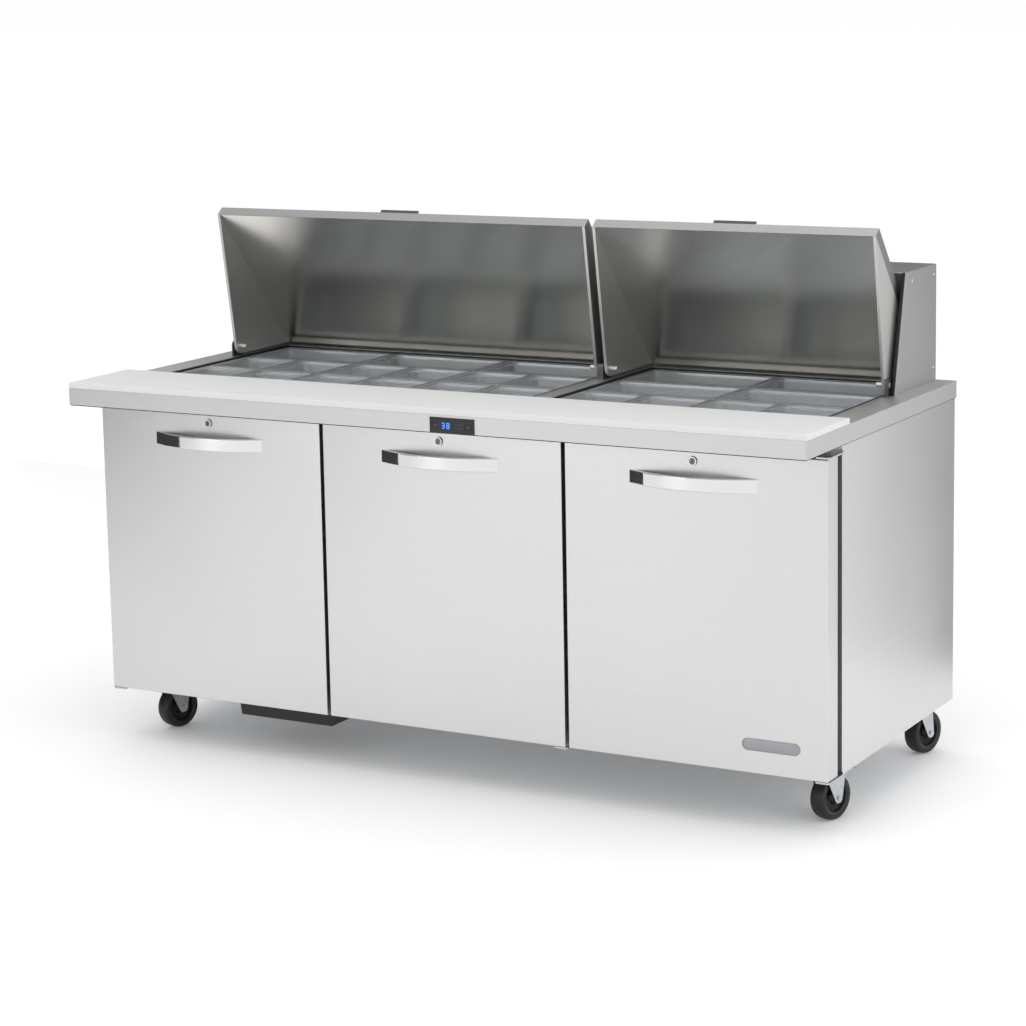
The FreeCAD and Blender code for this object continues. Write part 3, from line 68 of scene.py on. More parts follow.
def linear(code, share=1.0):
    """An sRGB hex colour as linear red, green, blue and alpha, darkened to a share of itself."""
    parts = [int(code[i:i + 2], 16) / 255 for i in (1, 3, 5)]
    bright = [p / 12.92 if p <= 0.04045 else ((p + 0.055) / 1.055) ** 2.4 for p in parts]
    return [c * share for c in bright] + [1]


def give(tree, node, inputs):
    """Gives each of the node's inputs a value or a link."""
    for key, value in inputs.items():
        if isinstance(value, bpy.types.NodeSocket):
            tree.links.new(value, node.inputs[key])
        else:
            node.inputs[key].default_value = value


def add_node(tree, kind, inputs=None, **settings):
    """Adds a node with its properties, values and links."""
    node = tree.nodes.new(kind)
    for key, value in settings.items():
        setattr(node, key, value)
    give(tree, node, inputs or {})
    return node


def new_material(name):
    """An empty node material and its Principled shader."""
    material = bpy.data.materials.new(name)
    material.use_nodes = True
    tree = material.node_tree
    tree.nodes.clear()
    shader = add_node(tree, "ShaderNodeBsdfPrincipled")
    add_node(tree, "ShaderNodeOutputMaterial", {"Surface": shader.outputs[0]})
    return material, tree, shader


def put_in(name, data):
    """A new object in the scene, at the origin."""
    item = bpy.data.objects.new(name, data)
    bpy.context.scene.collection.objects.link(item)
    return item


def mesh_piece(name, points, faces, material):
    """A mesh object at the origin, from points and the faces between them."""
    mesh = bpy.data.meshes.new(name)
    mesh.from_pydata([tuple(p) for p in points], [], faces)
    mesh.materials.append(material)
    return put_in(name, mesh)


def soft_light(name, place, target, width, height, power):
    lamp = bpy.data.lights.new(name, "AREA")
    lamp.shape = "RECTANGLE"
    lamp.size, lamp.size_y, lamp.energy = width, height, power
    light = put_in(name, lamp)
    light.location = place
    light.rotation_euler = (Vector(target) - Vector(place)).to_track_quat("-Z", "Y").to_euler()


paint, tree, shader = new_material("studio_floor_paint")
give(tree, shader, {
    "Base Color": linear("#F8F8F8"), "Roughness": 0.6, "Emission Color": linear("#FFFFFF"),
    "Emission Strength": 0.09})
reach = 60.0
floor_edge = [(-reach, -reach, 0), (reach, -reach, 0), (reach, reach, 0), (-reach, reach, 0)]
floor = mesh_piece("studio_floor", floor_edge, [(0, 1, 2, 3)], paint)
flag, tree, shader = new_material("dark_card_felt")
shader.inputs["Base Color"].default_value = linear("#202022")
mist, tree, shader = new_material("grey_card_felt")
shader.inputs["Base Color"].default_value = linear("#A1A1A1")
# Each card has its name, its two ends on the floor, its height and its felt.
dark_cards = (("far_left", (-5.5, -3.2), (-4.2, -6.4), 3.0, flag),
              ("near_left", (-2.2, 0.5), (-2.3, -1.36), 1.6, flag),
              ("rear", (-3.6, 2.6), (1.2, 2.6), 2.4, flag),
              ("near_rear", (0.6, 1.15), (1.4, 1.15), 1.7, mist))
for side, start, end, high, felt in dark_cards:
    card_edge = [(*start, 0), (*end, 0), (*end, high), (*start, high)]
    card = mesh_piece("card_" + side, card_edge, [(0, 1, 2, 3)], felt)
    card.visible_camera = card.visible_shadow = card.visible_diffuse = side == "far_left"
soft_light("overhead_light", (0.3, -0.6, 4.2), (0, 0, 0.6), 4.5, 3.0, 34)
soft_light("front_light", (-3.4, -5.8, 1.8), (-0.3, 0, 0.6), 2.6, 2.2, 34)
soft_light("right_light", (5.0, -0.9, 2.0), (0.6, 0, 0.6), 2.0, 2.5, 30)
world = bpy.data.worlds.new("studio_world")
world.use_nodes = True
world.node_tree.nodes["Background"].inputs["Color"].default_value = linear("#F9F9FA")
world.node_tree.nodes["Background"].inputs["Strength"].default_value = 1.05
bpy.context.scene.world = world
bpy.context.scene.view_settings.view_transform = "Standard"

# --- Cabinet skins ------------------------------------------------------------------------------
# The side panels, worktop channel and worktop strips are folded stainless sheet with a long-line
# brushed finish. Each fold is a small radius, so every edge carries a thin highlight.
MM = 0.001
record = frame["record"]
body_with = {node: body for body, nodes in record["behaviour"]["bodies"].items() for node in nodes}


def pattern_space(tree, scale, turn=(0, 0, 0)):
    """Object coordinates in metres, stretched by the three scales."""
    coordinates = add_node(tree, "ShaderNodeTexCoord")
    return add_node(tree, "ShaderNodeMapping",
                    {"Vector": coordinates.outputs["Object"], "Scale": scale, "Rotation": turn}).outputs[0]


def brushed_steel(name, code, rough, along, line_mm=2.6, run_mm=900, relief=0.018):
    """Long-line brushed stainless: fine parallel scratches that blur reflections across themselves.
    Real lines are 0.1 mm apart and would vanish, so they are drawn line_mm apart."""
    material, tree, shader = new_material(name)
    scale = [1000 / line_mm] * 3
    scale["xyz".index(along)] = 1000 / run_mm
    lines = add_node(tree, "ShaderNodeTexNoise", {
        "Vector": pattern_space(tree, scale), "Scale": 1.0, "Detail": 2.0})
    cloud = add_node(tree, "ShaderNodeTexNoise", {
        "Vector": pattern_space(tree, (2.2, 2.2, 2.2)), "Scale": 1.0})
    shade = add_node(tree, "ShaderNodeMixRGB", {
        "Fac": lines.outputs[0], "Color1": linear(code), "Color2": linear(code, 0.94)})
    smudge = add_node(tree, "ShaderNodeMapRange", {
        "Value": cloud.outputs[0], "From Min": 0.3, "From Max": 0.7,
        "To Min": rough - 0.03, "To Max": rough + 0.04})
    grain = add_node(tree, "ShaderNodeMath", {
        0: lines.outputs[0], 1: 3.3 * relief, 2: smudge.outputs[0]}, operation="MULTIPLY_ADD")
    bump = add_node(tree, "ShaderNodeBump", {
        "Height": lines.outputs[0], "Strength": relief, "Distance": MM})
    give(tree, shader, {
        "Base Color": shade.outputs[0], "Roughness": grain.outputs[0], "Normal": bump.outputs[0],
        "Metallic": 1.0})
    return material


def join_up(piece, *nodes):
    """Rides the piece with the nodes' body, in place of them."""
    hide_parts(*nodes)
    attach(piece, body_with[nodes[0]])
    return piece


def smooth_edges(piece, width, angle=40):
    """Smooth shading, and a radius of width millimetres on every edge sharper than the angle."""
    piece.data.set_sharp_from_angle(angle=math.radians(angle))
    for face in piece.data.polygons:
        face.use_smooth = True
    if width:
        bevel = piece.modifiers.new("edge radius", "BEVEL")
        bevel.width = width * MM
        bevel.segments = 2
        bevel.limit_method = "ANGLE"
        bevel.angle_limit = math.radians(angle)
        bevel.harden_normals = True
    return piece


def sheet_piece(node, material, radius, pierced=False):
    """The node's own shape as one welded mesh, with rounded edges. A face with a hole through it
    stays in triangles, because one flat face would close the hole."""
    mesh = frame["nodes"][node].data.copy()
    mesh.materials.clear()
    mesh.materials.append(material)
    work = bmesh.new()
    work.from_mesh(mesh)
    bmesh.ops.remove_doubles(work, verts=work.verts, dist=0.005 * MM)
    if not pierced:
        bmesh.ops.dissolve_limit(work, angle_limit=math.radians(0.5),
                                 verts=work.verts, edges=work.edges)
    work.to_mesh(mesh)
    work.free()
    for name in [layer.name for layer in mesh.attributes if layer.name == "custom_normal"]:
        mesh.attributes.remove(mesh.attributes[name])
    return join_up(smooth_edges(put_in(node + "_sheet", mesh), radius), node)


def dress(material, *nodes):
    """Gives the nodes' own meshes a material."""
    for node in nodes:
        mesh = frame["nodes"][node].data
        mesh.materials.clear()
        mesh.materials.append(material)
        for face in mesh.polygons:
            face.material_index = 0


side_steel = brushed_steel("brushed_stainless_side_skin", "#DADAD9", 0.30, "y")
front_steel = brushed_steel("brushed_stainless_front", "#CCCCCB", 0.42, "x")
sheet_piece("side_panels", side_steel, 0.5)
sheet_piece("worktop_front", front_steel, 0.5, pierced=True)
sheet_piece("worktop_surround", front_steel, 0.5)

# --- Hidden steel -------------------------------------------------------------------------------
# The back, the floor of the cabinet and the rear grille are hot-dip galvanised sheet, left bare.
# Zinc crystals a centimetre or so across give it a faint patchwork.


def galvanised_sheet(name, code, crystal_mm):
    material, tree, shader = new_material(name)
    space = pattern_space(tree, [1000 / crystal_mm] * 3)
    crystals = add_node(tree, "ShaderNodeTexVoronoi", {"Vector": space, "Scale": 1.0})
    fleck = add_node(tree, "ShaderNodeSeparateColor", {"Color": crystals.outputs["Color"]})
    shade = add_node(tree, "ShaderNodeMixRGB", {
        "Fac": fleck.outputs[0], "Color1": linear(code, 0.84), "Color2": linear(code)})
    sheen = add_node(tree, "ShaderNodeMapRange", {
        "Value": fleck.outputs[1], "To Min": 0.36, "To Max": 0.5})
    give(tree, shader, {"Base Color": shade.outputs[0], "Roughness": sheen.outputs[0], "Metallic": 1.0})
    return material


galvanised = galvanised_sheet("hot_dip_galvanised_sheet", "#B4B8BB", 14)
sheet_piece("back_panel", galvanised, 0)
sheet_piece("bottom_panel", galvanised, 0)
sheet_piece("rear_grille", galvanised, 0.3)

# --- Lining, frame and foam ---------------------------------------------------------------------
# The cabinet and the wells are lined with stucco-embossed aluminium sheet, the door frame is plain
# stainless with a satin face, and polyurethane foam fills the walls between lining and skin.


def lining_sheet(name, code, emboss_mm):
    material, tree, shader = new_material(name)
    space = pattern_space(tree, [1000 / emboss_mm] * 3)
    pebble = add_node(tree, "ShaderNodeTexVoronoi", {"Vector": space, "Scale": 1.0}, feature="SMOOTH_F1")
    bump = add_node(tree, "ShaderNodeBump", {
        "Height": pebble.outputs["Distance"], "Strength": 0.25, "Distance": MM})
    give(tree, shader, {
        "Base Color": linear(code), "Metallic": 1.0, "Roughness": 0.42, "Normal": bump.outputs[0]})
    return material


def cut_foam(name, code, cell_mm):
    material, tree, shader = new_material(name)
    space = pattern_space(tree, [1000 / cell_mm] * 3)
    cells = add_node(tree, "ShaderNodeTexNoise", {"Vector": space, "Scale": 1.0})
    shade = add_node(tree, "ShaderNodeMixRGB", {
        "Fac": cells.outputs[0], "Color1": linear(code), "Color2": linear(code, 0.75)})
    give(tree, shader, {"Base Color": shade.outputs[0], "Roughness": 0.9})
    return material


lining = lining_sheet("stucco_aluminium_lining", "#CBCDCE", 5)
dress(lining, "liner_panels")
sheet_piece("front_frame", brushed_steel("satin_stainless_frame", "#BDBDBB", 0.38, "z"), 0.8)
dress(cut_foam("polyurethane_foam", "#D9CFA6", 1.5), "insulation")

# --- Black mouldings ----------------------------------------------------------------------------
# Breaker strips round the wells, the hood's edge strips, the drain pan and the cord gland are
# injection moulded in black ABS with a fine spark-eroded texture.


def moulded_plastic(name, code, rough, grain_mm, depth):
    material, tree, shader = new_material(name)
    space = pattern_space(tree, [1000 / grain_mm] * 3)
    grain = add_node(tree, "ShaderNodeTexNoise", {"Vector": space, "Scale": 1.0, "Detail": 3.0})
    wear = add_node(tree, "ShaderNodeMapRange", {
        "Value": grain.outputs[0], "To Min": rough - 0.08, "To Max": rough + 0.08})
    bump = add_node(tree, "ShaderNodeBump", {
        "Height": grain.outputs[0], "Strength": depth, "Distance": MM})
    give(tree, shader, {
        "Base Color": linear(code), "Roughness": wear.outputs[0], "Normal": bump.outputs[0]})
    return material


black_abs = moulded_plastic("black_abs_moulding", "#0D0D0E", 0.42, 1.2, 0.12)
for node, radius in (("pan_trim", 0.8), ("hood_trims", 0.8), ("drain_pan", 1.2), ("cord_gland", 1.0)):
    sheet_piece(node, black_abs, radius)

# --- Worktop shadow gap -------------------------------------------------------------------------
# A thin black strip under the worktop's apron, along its front and both sides, is painted shade:
# it stands in for the shadow gap over the cabinet and shows as a dark line.


def box_mesh(name, boxes, material):
    """Plain boxes as one mesh, each from its x0, x1, y0, y1, z0 and z1."""
    points, faces = [], []
    for x0, x1, y0, y1, z0, z1 in boxes:
        first = len(points)
        points += [(x, y, z) for y in (y0, y1) for z in (z0, z1) for x in (x0, x1)]
        for face in ((0, 1, 3, 2), (4, 6, 7, 5), (0, 4, 5, 1), (2, 3, 7, 6), (0, 2, 6, 4), (1, 5, 7, 3)):
            faces.append(tuple(first + i for i in face))
    return mesh_piece(name, points, faces, material)


apron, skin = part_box("worktop_front")[0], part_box("side_panels")[1]
strip, tuck, overlap = 3 * MM, 0.7 * MM, 0.3 * MM
front, rear = apron.y + tuck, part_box("worktop_surround")[1].y - 2 * MM
top, bottom = apron.z + overlap, apron.z + overlap - 2.1 * MM
runs = [(apron.x + tuck, -apron.x - tuck, front, front + strip, bottom, top)]
for side in (-1, 1):
    inner, outer = sorted((side * (skin.x - overlap), side * (-apron.x - tuck)))
    runs.append((inner, outer, front + strip, rear, bottom, top))
# Black for the strip under the apron: painted shade in place of the shadow gap.
shadow_gap_black = moulded_plastic("black_painted_shadow_gap", "#0E0E0F", 0.7, 1.0, 0.3)
painted_shadow_gap = box_mesh("worktop_painted_shadow_gap", runs, shadow_gap_black)
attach(painted_shadow_gap, "cabinet")

# --- Screws -------------------------------------------------------------------------------------
# Low pan-head screws in bright steel fix the rear panel and the hood's cheeks, and flat ones the
# caster plates. Each head is a short cone standing on the sheet.


def new_tree(name, sizes):
    """An empty geometry tree whose sizes are named inputs, and its input and output nodes."""
    tree = bpy.data.node_groups.new(name, "GeometryNodeTree")
    tree.interface.new_socket("Geometry", in_out="OUTPUT", socket_type="NodeSocketGeometry")
    tree.interface.new_socket("Geometry", in_out="INPUT", socket_type="NodeSocketGeometry")
    for label, kind in sizes:
        tree.interface.new_socket(label, in_out="INPUT", socket_type="NodeSocket" + kind)
    return tree, add_node(tree, "NodeGroupInput"), add_node(tree, "NodeGroupOutput")


def close_tree(tree, given, output, instances):
    """Ends a tree in Realize Instances and Set Material."""
    real = add_node(tree, "GeometryNodeRealizeInstances", {"Geometry": instances})
    finish = add_node(tree, "GeometryNodeSetMaterial",
                      {"Geometry": real.outputs[0], "Material": given.outputs["Finish"]})
    tree.links.new(finish.outputs[0], output.inputs[0])
    return tree


def grown(name, tree, places, values):
    """The plain mesh that the tree makes from points at the places."""
    seed = bpy.data.meshes.new(name + "_places")
    seed.from_pydata([tuple(p) for p in places], [], [])
    maker = put_in(name + "_maker", seed)
    modifier = maker.modifiers.new(name, "NODES")
    modifier.node_group = tree
    for item in tree.interface.items_tree:
        if item.in_out == "INPUT" and item.name in values:
            modifier[item.identifier] = values[item.name]
    graph = bpy.context.evaluated_depsgraph_get()
    mesh = bpy.data.meshes.new_from_object(maker.evaluated_get(graph))
    maker.modifiers.remove(modifier)
    bpy.data.objects.remove(maker)
    mesh.name = name
    return put_in(name, mesh)


screw_tree, given, output = new_tree("screw heads", [
    ("Head radius", "Float"), ("Head height", "Float"), ("Turn", "Rotation"), ("Finish", "Material")])
crown_share = 0.62
crown = add_node(screw_tree, "ShaderNodeMath", {
    0: given.outputs["Head radius"], 1: crown_share}, operation="MULTIPLY")
head = add_node(screw_tree, "GeometryNodeMeshCone", {
    "Vertices": 18, "Radius Top": crown.outputs[0], "Radius Bottom": given.outputs["Head radius"],
    "Depth": given.outputs["Head height"]})
heads = add_node(screw_tree, "GeometryNodeInstanceOnPoints", {
    "Points": given.outputs["Geometry"], "Instance": head.outputs["Mesh"],
    "Rotation": given.outputs["Turn"]})
close_tree(screw_tree, given, output, heads.outputs[0])


def screw_heads(name, places, turn, radius, height, material):
    """Heads of one size, in millimetres, on the cabinet."""
    piece = grown(name, screw_tree, places, {
        "Head radius": radius * MM, "Head height": height * MM, "Turn": turn, "Finish": material})
    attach(smooth_edges(piece, 0, 40), "cabinet")


def screw_steel(name, code):
    material, tree, shader = new_material(name)
    turned = add_node(tree, "ShaderNodeTexNoise", {
        "Vector": pattern_space(tree, (700, 700, 700)), "Scale": 1.0})
    blur = add_node(tree, "ShaderNodeMapRange", {
        "Value": turned.outputs[0], "To Min": 0.18, "To Max": 0.34})
    give(tree, shader, {"Roughness": blur.outputs[0], "Base Color": linear(code), "Metallic": 1.0})
    return material


bright_screw = screw_steel("turned_steel_screw", "#C3C6C9")
FACE_BACK, FACE_DOWN = (math.radians(-90), 0, 0), (math.radians(180), 0, 0)
FACE_RIGHT, FACE_LEFT = (0, math.radians(90), 0), (0, math.radians(-90), 0)
low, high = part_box("back_panel")
margin, per_side = 11 * MM, 6
rear_edge = [(x, high.y, low.z + (high.z - low.z) * (i + 0.5) / per_side)
             for x in (low.x + margin, high.x - margin) for i in range(per_side)]
screw_heads("back_panel_screws", rear_edge, FACE_BACK, 4.2, 2.4, bright_screw)
low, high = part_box("hood_panels")
for side, x, turn in (("left", low.x, FACE_LEFT), ("right", high.x, FACE_RIGHT)):
    places = [(x, high.y - 14 * MM, z) for z in (low.z + 30 * MM, high.z - 22 * MM)]
    places.append((x, high.y - 150 * MM, high.z - 22 * MM))
    screw_heads("hood_screws_" + side, places, turn, 4.0, 2.2, bright_screw)
low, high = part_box("caster_plates")
plate, across_holes, along_holes = 4 * MM, (9, 61), (9, 75)
bolts = []
for sx, edge_x in ((1, low.x), (-1, high.x)):
    for sy, edge_y in ((1, low.y), (-1, high.y)):
        for dx in across_holes:
            for dy in along_holes:
                bolts.append((edge_x + sx * dx * MM, edge_y + sy * dy * MM, high.z - plate))
screw_heads("caster_plate_bolts", bolts, FACE_DOWN, 6.0, 0.7, bright_screw)

# --- Cutting board ------------------------------------------------------------------------------
# A full-length slab of white high-density polyethylene with eased edges. Planing leaves it matt
# and faintly mottled, and knives leave hair-thin scratches on the top.


def white_polyethylene(name, code):
    material, tree, shader = new_material(name)
    mottle = add_node(tree, "ShaderNodeTexNoise", {
        "Vector": pattern_space(tree, (9, 9, 9)), "Scale": 1.0, "Detail": 4.0})
    skin = add_node(tree, "ShaderNodeTexNoise", {
        "Vector": pattern_space(tree, (900, 900, 900)), "Scale": 1.0})
    shade = add_node(tree, "ShaderNodeMixRGB", {
        "Fac": mottle.outputs[0], "Color1": linear(code), "Color2": linear(code, 0.93)})
    height = skin.outputs[0]
    for turn, spacing in ((0.5, 26.0), (-0.9, 34.0), (1.4, 41.0)):
        long_cut = (1000 / spacing * 14, 1000 / spacing * 0.35, 1)
        cuts = add_node(tree, "ShaderNodeTexNoise", {
            "Vector": pattern_space(tree, long_cut, (0, 0, turn)), "Scale": 1.0})
        thin = add_node(tree, "ShaderNodeMapRange", {
            "Value": cuts.outputs[0], "From Min": 0.70, "From Max": 0.74, "To Min": 0.0, "To Max": -0.6})
        total = add_node(tree, "ShaderNodeMath", {0: height, 1: thin.outputs[0]}, operation="ADD")
        height = total.outputs[0]
    bump = add_node(tree, "ShaderNodeBump", {"Height": height, "Strength": 0.10, "Distance": MM})
    give(tree, shader, {
        "Base Color": shade.outputs[0], "Normal": bump.outputs[0], "Roughness": 0.5, "IOR": 1.54})
    return material


sheet_piece("cutting_board", white_polyethylene("white_hdpe_board", "#D9D9D8"), 0)

# --- Food pans ----------------------------------------------------------------------------------
# Clear polycarbonate pans in the standard one-sixth and one-third sizes. Each hangs by a flat rim
# with a rolled edge, steps in below it so that pans nest, and tapers to a rounded floor.


def rounded_ring(x0, x1, y0, y1, z, radius, steps=6):
    """Points of a horizontal rectangle with round corners."""
    ring = []
    for corner, (x, y) in enumerate(((x1 - radius, y1 - radius), (x0 + radius, y1 - radius),
                                     (x0 + radius, y0 + radius), (x1 - radius, y0 + radius))):
        for step in range(steps + 1):
            angle = math.radians(90 * corner + 90 * step / steps)
            ring.append((x + radius * math.cos(angle), y + radius * math.sin(angle), z))
    return ring


def faces_out(piece):
    """Turns every face of a closed mesh outwards."""
    work = bmesh.new()
    work.from_mesh(piece.data)
    bmesh.ops.recalc_face_normals(work, faces=work.faces)
    work.to_mesh(piece.data)
    work.free()
    return piece


def ringed_mesh(name, rings, material):
    """A closed skin over rings of equal length, capped at both ends."""
    count = len(rings[0])
    points = [point for ring in rings for point in ring]
    faces = []
    for level in range(len(rings) - 1):
        for i in range(count):
            a, b = level * count + i, level * count + (i + 1) % count
            faces.append((a, b, b + count, a + count))
    faces.append(tuple(reversed(range(count))))
    faces.append(tuple(range(len(points) - count, len(points))))
    return faces_out(mesh_piece(name, points, faces, material))


def merge_pieces(name, pieces):
    """One mesh object out of several at the origin."""
    work = bmesh.new()
    for piece in pieces:
        work.from_mesh(piece.data)
    mesh = bpy.data.meshes.new(name)
    work.to_mesh(mesh)
    work.free()
    slots = []
    for piece in pieces:
        for material in piece.data.materials:
            if material not in slots:
                slots.append(material)
    for material in slots:
        mesh.materials.append(material)
    offset = 0
    for piece in pieces:
        own = list(piece.data.materials)
        for face in piece.data.polygons:
            mesh.polygons[offset].material_index = slots.index(own[face.material_index])
            offset += 1
        bpy.data.objects.remove(piece)
    return put_in(name, mesh)


def clear_polycarbonate(name):
    """Clear moulding with a faint cool tint and a light haze of dishwasher scratches."""
    material, tree, shader = new_material(name)
    haze = add_node(tree, "ShaderNodeTexNoise", {
        "Vector": pattern_space(tree, (60, 60, 60)), "Scale": 1.0, "Detail": 4.0})
    blur = add_node(tree, "ShaderNodeMapRange", {"Value": haze.outputs[0], "To Min": 0.06, "To Max": 0.22})
    give(tree, shader, {
        "Roughness": blur.outputs[0], "Base Color": linear("#EEF2F4"), "IOR": 1.586,
        "Transmission Weight": 0.85})
    return material


def food_pan(name, x0, x1, y0, y1, top, deep, material):
    """A closed mesh from rings of (inset, height, corner radius in mm): down the inside from the
    rim's edge to the floor, and back up the underside."""
    rim, wall, draft, thick = 9 * MM, 2.5 * MM, 7 * MM, 3 * MM
    low = top - deep
    layers = [(0, top - thick, 8), (0, top - 1 * MM, 8), (1 * MM, top, 7.5), (rim - 1 * MM, top, 14.5),
              (rim + wall - 0.5 * MM, top - 1.2 * MM, 14), (rim + wall, top - 12 * MM, 13.5),
              (rim + wall + 1.5 * MM, top - 14 * MM, 13), (rim + wall + draft - 1 * MM, low + 9 * MM, 14),
              (rim + wall + draft + 1.5 * MM, low + 4.5 * MM, 14),
              (rim + wall + draft + 6 * MM, low + wall, 12), (rim + wall + draft + 30 * MM, low + wall, 6)]
    under = [(rim + draft + 30 * MM, low, 6), (rim + draft + 6 * MM, low, 12),
             (rim + draft + 1.5 * MM, low + 2 * MM, 14), (rim + draft - 1 * MM, low + 7 * MM, 14),
             (rim + 1.5 * MM, top - 16 * MM, 15), (rim, top - 14 * MM, 15.5),
             (rim, top - thick - 1 * MM, 16), (rim - 1 * MM, top - thick, 15)]
    rings = [rounded_ring(x0 + i, x1 - i, y0 + i, y1 - i, z, max(r * MM, 1 * MM)) for i, z, r in layers]
    floor_inside = len(rings)
    rings += [rounded_ring(x0 + i, x1 - i, y0 + i, y1 - i, z, r * MM) for i, z, r in under]
    count = len(rings[0])
    points = [point for ring in rings for point in ring]
    faces = []
    for ring in range(len(rings)):
        after = (ring + 1) % len(rings)
        if ring == floor_inside - 1:
            faces.append(tuple(ring * count + i for i in range(count)))
            faces.append(tuple(after * count + i for i in reversed(range(count))))
            continue
        for i in range(count):
            j = (i + 1) % count
            faces.append((ring * count + i, ring * count + j, after * count + j, after * count + i))
    return faces_out(mesh_piece(name, points, faces, material))


pans_low, pans_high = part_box("pans")
pitch_x, pitch_y, pan_gap = 162.5 * MM, 176.8 * MM, 0.6 * MM
pan_length, pan_depth = 176.2 * MM, 100 * MM
polycarbonate = clear_polycarbonate("clear_polycarbonate")
right_start = pans_high.x - (4 * pitch_x - pan_gap)
rows = ((pans_low.x, ((1,) * 6, (1,) * 6, (2,) * 3)), (right_start, ((1,) * 4, (2,) * 2, (2,) * 2)))
made = []
for well_start, widths_by_row in rows:
    for row, widths in enumerate(widths_by_row):
        x, y = well_start, pans_low.y + row * pitch_y
        for columns in widths:
            right = x + columns * pitch_x - pan_gap
            made.append(food_pan("pan", x, right, y, y + pan_length, pans_high.z, pan_depth,
                                 polycarbonate))
            x += columns * pitch_x
food_pans = merge_pieces("food_pans", made)
smooth_edges(food_pans, 0, 60)
join_up(food_pans, "pans")

# --- Doors --------------------------------------------------------------------------------------
# Three foamed doors with a folded stainless face, a lock above each handle, a pressed liner on the
# back and a grey vinyl bellows gasket that carries the magnet strip.


def framed_mesh(name, x0, x1, z0, z1, y, profile, material):
    """A profile of (inset, depth) points run round a rectangle with mitred corners."""
    points = []
    for x_edge, z_edge, sx, sz in ((x0, z0, 1, 1), (x1, z0, -1, 1), (x1, z1, -1, -1), (x0, z1, 1, -1)):
        points += [(x_edge + sx * inset, y + depth, z_edge + sz * inset) for inset, depth in profile]
    count = len(profile)
    faces = []
    for corner in range(4):
        nearby = (corner + 1) % 4
        for i in range(count):
            j = (i + 1) % count
            faces.append((corner * count + i, nearby * count + i,
                          nearby * count + j, corner * count + j))
    return faces_out(mesh_piece(name, points, faces, material))


def polished_metal(name, code, rough):
    """Bright plated or cast metal with faint wiping marks."""
    material, tree, shader = new_material(name)
    wipe = add_node(tree, "ShaderNodeTexNoise", {
        "Vector": pattern_space(tree, (25, 80, 80)), "Scale": 1.0, "Detail": 3.0})
    blur = add_node(tree, "ShaderNodeMapRange", {
        "Value": wipe.outputs[0], "To Min": rough * 0.6, "To Max": rough * 1.6})
    give(tree, shader, {"Roughness": blur.outputs[0], "Base Color": linear(code), "Metallic": 1.0})
    return material


def soft_vinyl(name, code):
    material, tree, shader = new_material(name)
    dust = add_node(tree, "ShaderNodeTexNoise", {
        "Vector": pattern_space(tree, (140, 140, 140)), "Scale": 1.0})
    shade = add_node(tree, "ShaderNodeMixRGB", {
        "Fac": dust.outputs[0], "Color1": linear(code), "Color2": linear(code, 0.8)})
    give(tree, shader, {"Base Color": shade.outputs[0], "Roughness": 0.55})
    return material


def turned_ring(name, x, y, z, radius, profile, material, steps=40):
    """A ring facing the front, from a closed profile of (share of the radius, depth in mm)."""
    points, faces = [], []
    for i in range(steps):
        angle = math.tau * i / steps
        points += [(x + share * radius * math.cos(angle), y + depth * MM,
                    z + share * radius * math.sin(angle)) for share, depth in profile]
    count = len(profile)
    for i in range(steps):
        here, after = i * count, (i + 1) % steps * count
        for k in range(count):
            faces.append((here + k, here + (k + 1) % count, after + (k + 1) % count, after + k))
    return faces_out(mesh_piece(name, points, faces, material))


door_steel = brushed_steel("brushed_stainless_door", "#D3D3D2", 0.28, "x")
chrome = polished_metal("polished_chrome", "#DCDDDE", 0.07)
vinyl = soft_vinyl("dark_grey_vinyl_gasket", "#29292B")
barrel_steel = brushed_steel("turned_steel_barrel", "#7C7D7F", 0.35, "z", 1.0, 4)
BEZEL_PROFILE = ((1.0, 0.4), (1.04, -0.5), (0.98, -1.2), (0.80, -1.2), (0.72, -0.4), (0.72, 0.4))
GASKET_PROFILE = ((0.5, 0), (0.5, 3), (3, 4.5), (0, 7), (0, 9), (3.5, 11.5), (0, 14), (0, 22.2),
                  (1.5, 24.0), (14.5, 24.0), (16, 22.2), (16, 14), (12.5, 11.5), (16, 9), (16, 7),
                  (13, 4.5), (15.5, 3), (15.5, 0))
LINER_PROFILE = ((0, -0.6), (0, 1.2), (14, 1.6), (26, 11), (60, 12), (70, 8), (80, 8), (80, -0.6))
LINER_INSET, LINER_FIELD = 19 * MM, 79.5 * MM
for door in ("left", "middle", "right"):
    sheet_piece("door_" + door + "_panel", door_steel, 0.6)
    low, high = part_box("door_" + door + "_gasket")
    profile = [(u * MM, v * MM) for u, v in GASKET_PROFILE]
    gasket = framed_mesh("door_" + door + "_gasket_bellows", low.x, high.x, low.z, high.z, low.y,
                         profile, vinyl)
    join_up(smooth_edges(gasket, 0.4, 30), "door_" + door + "_gasket")
    profile = [(u * MM, v * MM) for u, v in LINER_PROFILE]
    edge = framed_mesh("door_liner_edge", low.x + LINER_INSET, high.x - LINER_INSET,
                       low.z + LINER_INSET, high.z - LINER_INSET, low.y, profile, lining)
    inset = LINER_INSET + LINER_FIELD
    centre = box_mesh("door_liner_centre", [(low.x + inset, high.x - inset, low.y - 0.6 * MM,
                      low.y + 7.9 * MM, low.z + inset, high.z - inset)], lining)
    liner = merge_pieces("door_" + door + "_liner", [edge, centre])
    smooth_edges(liner, 1.0, 20)
    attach(liner, "door_" + door)
    sheet_piece("lock_" + door, barrel_steel, 0.5)
    low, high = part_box("lock_" + door)
    radius = (high.x - low.x) / 2
    bezel = turned_ring("lock_" + door + "_bezel", low.x + radius, low.y, low.z + radius, radius,
                        BEZEL_PROFILE, chrome)
    smooth_edges(bezel, 0, 35)
    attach(bezel, "lock_" + door)

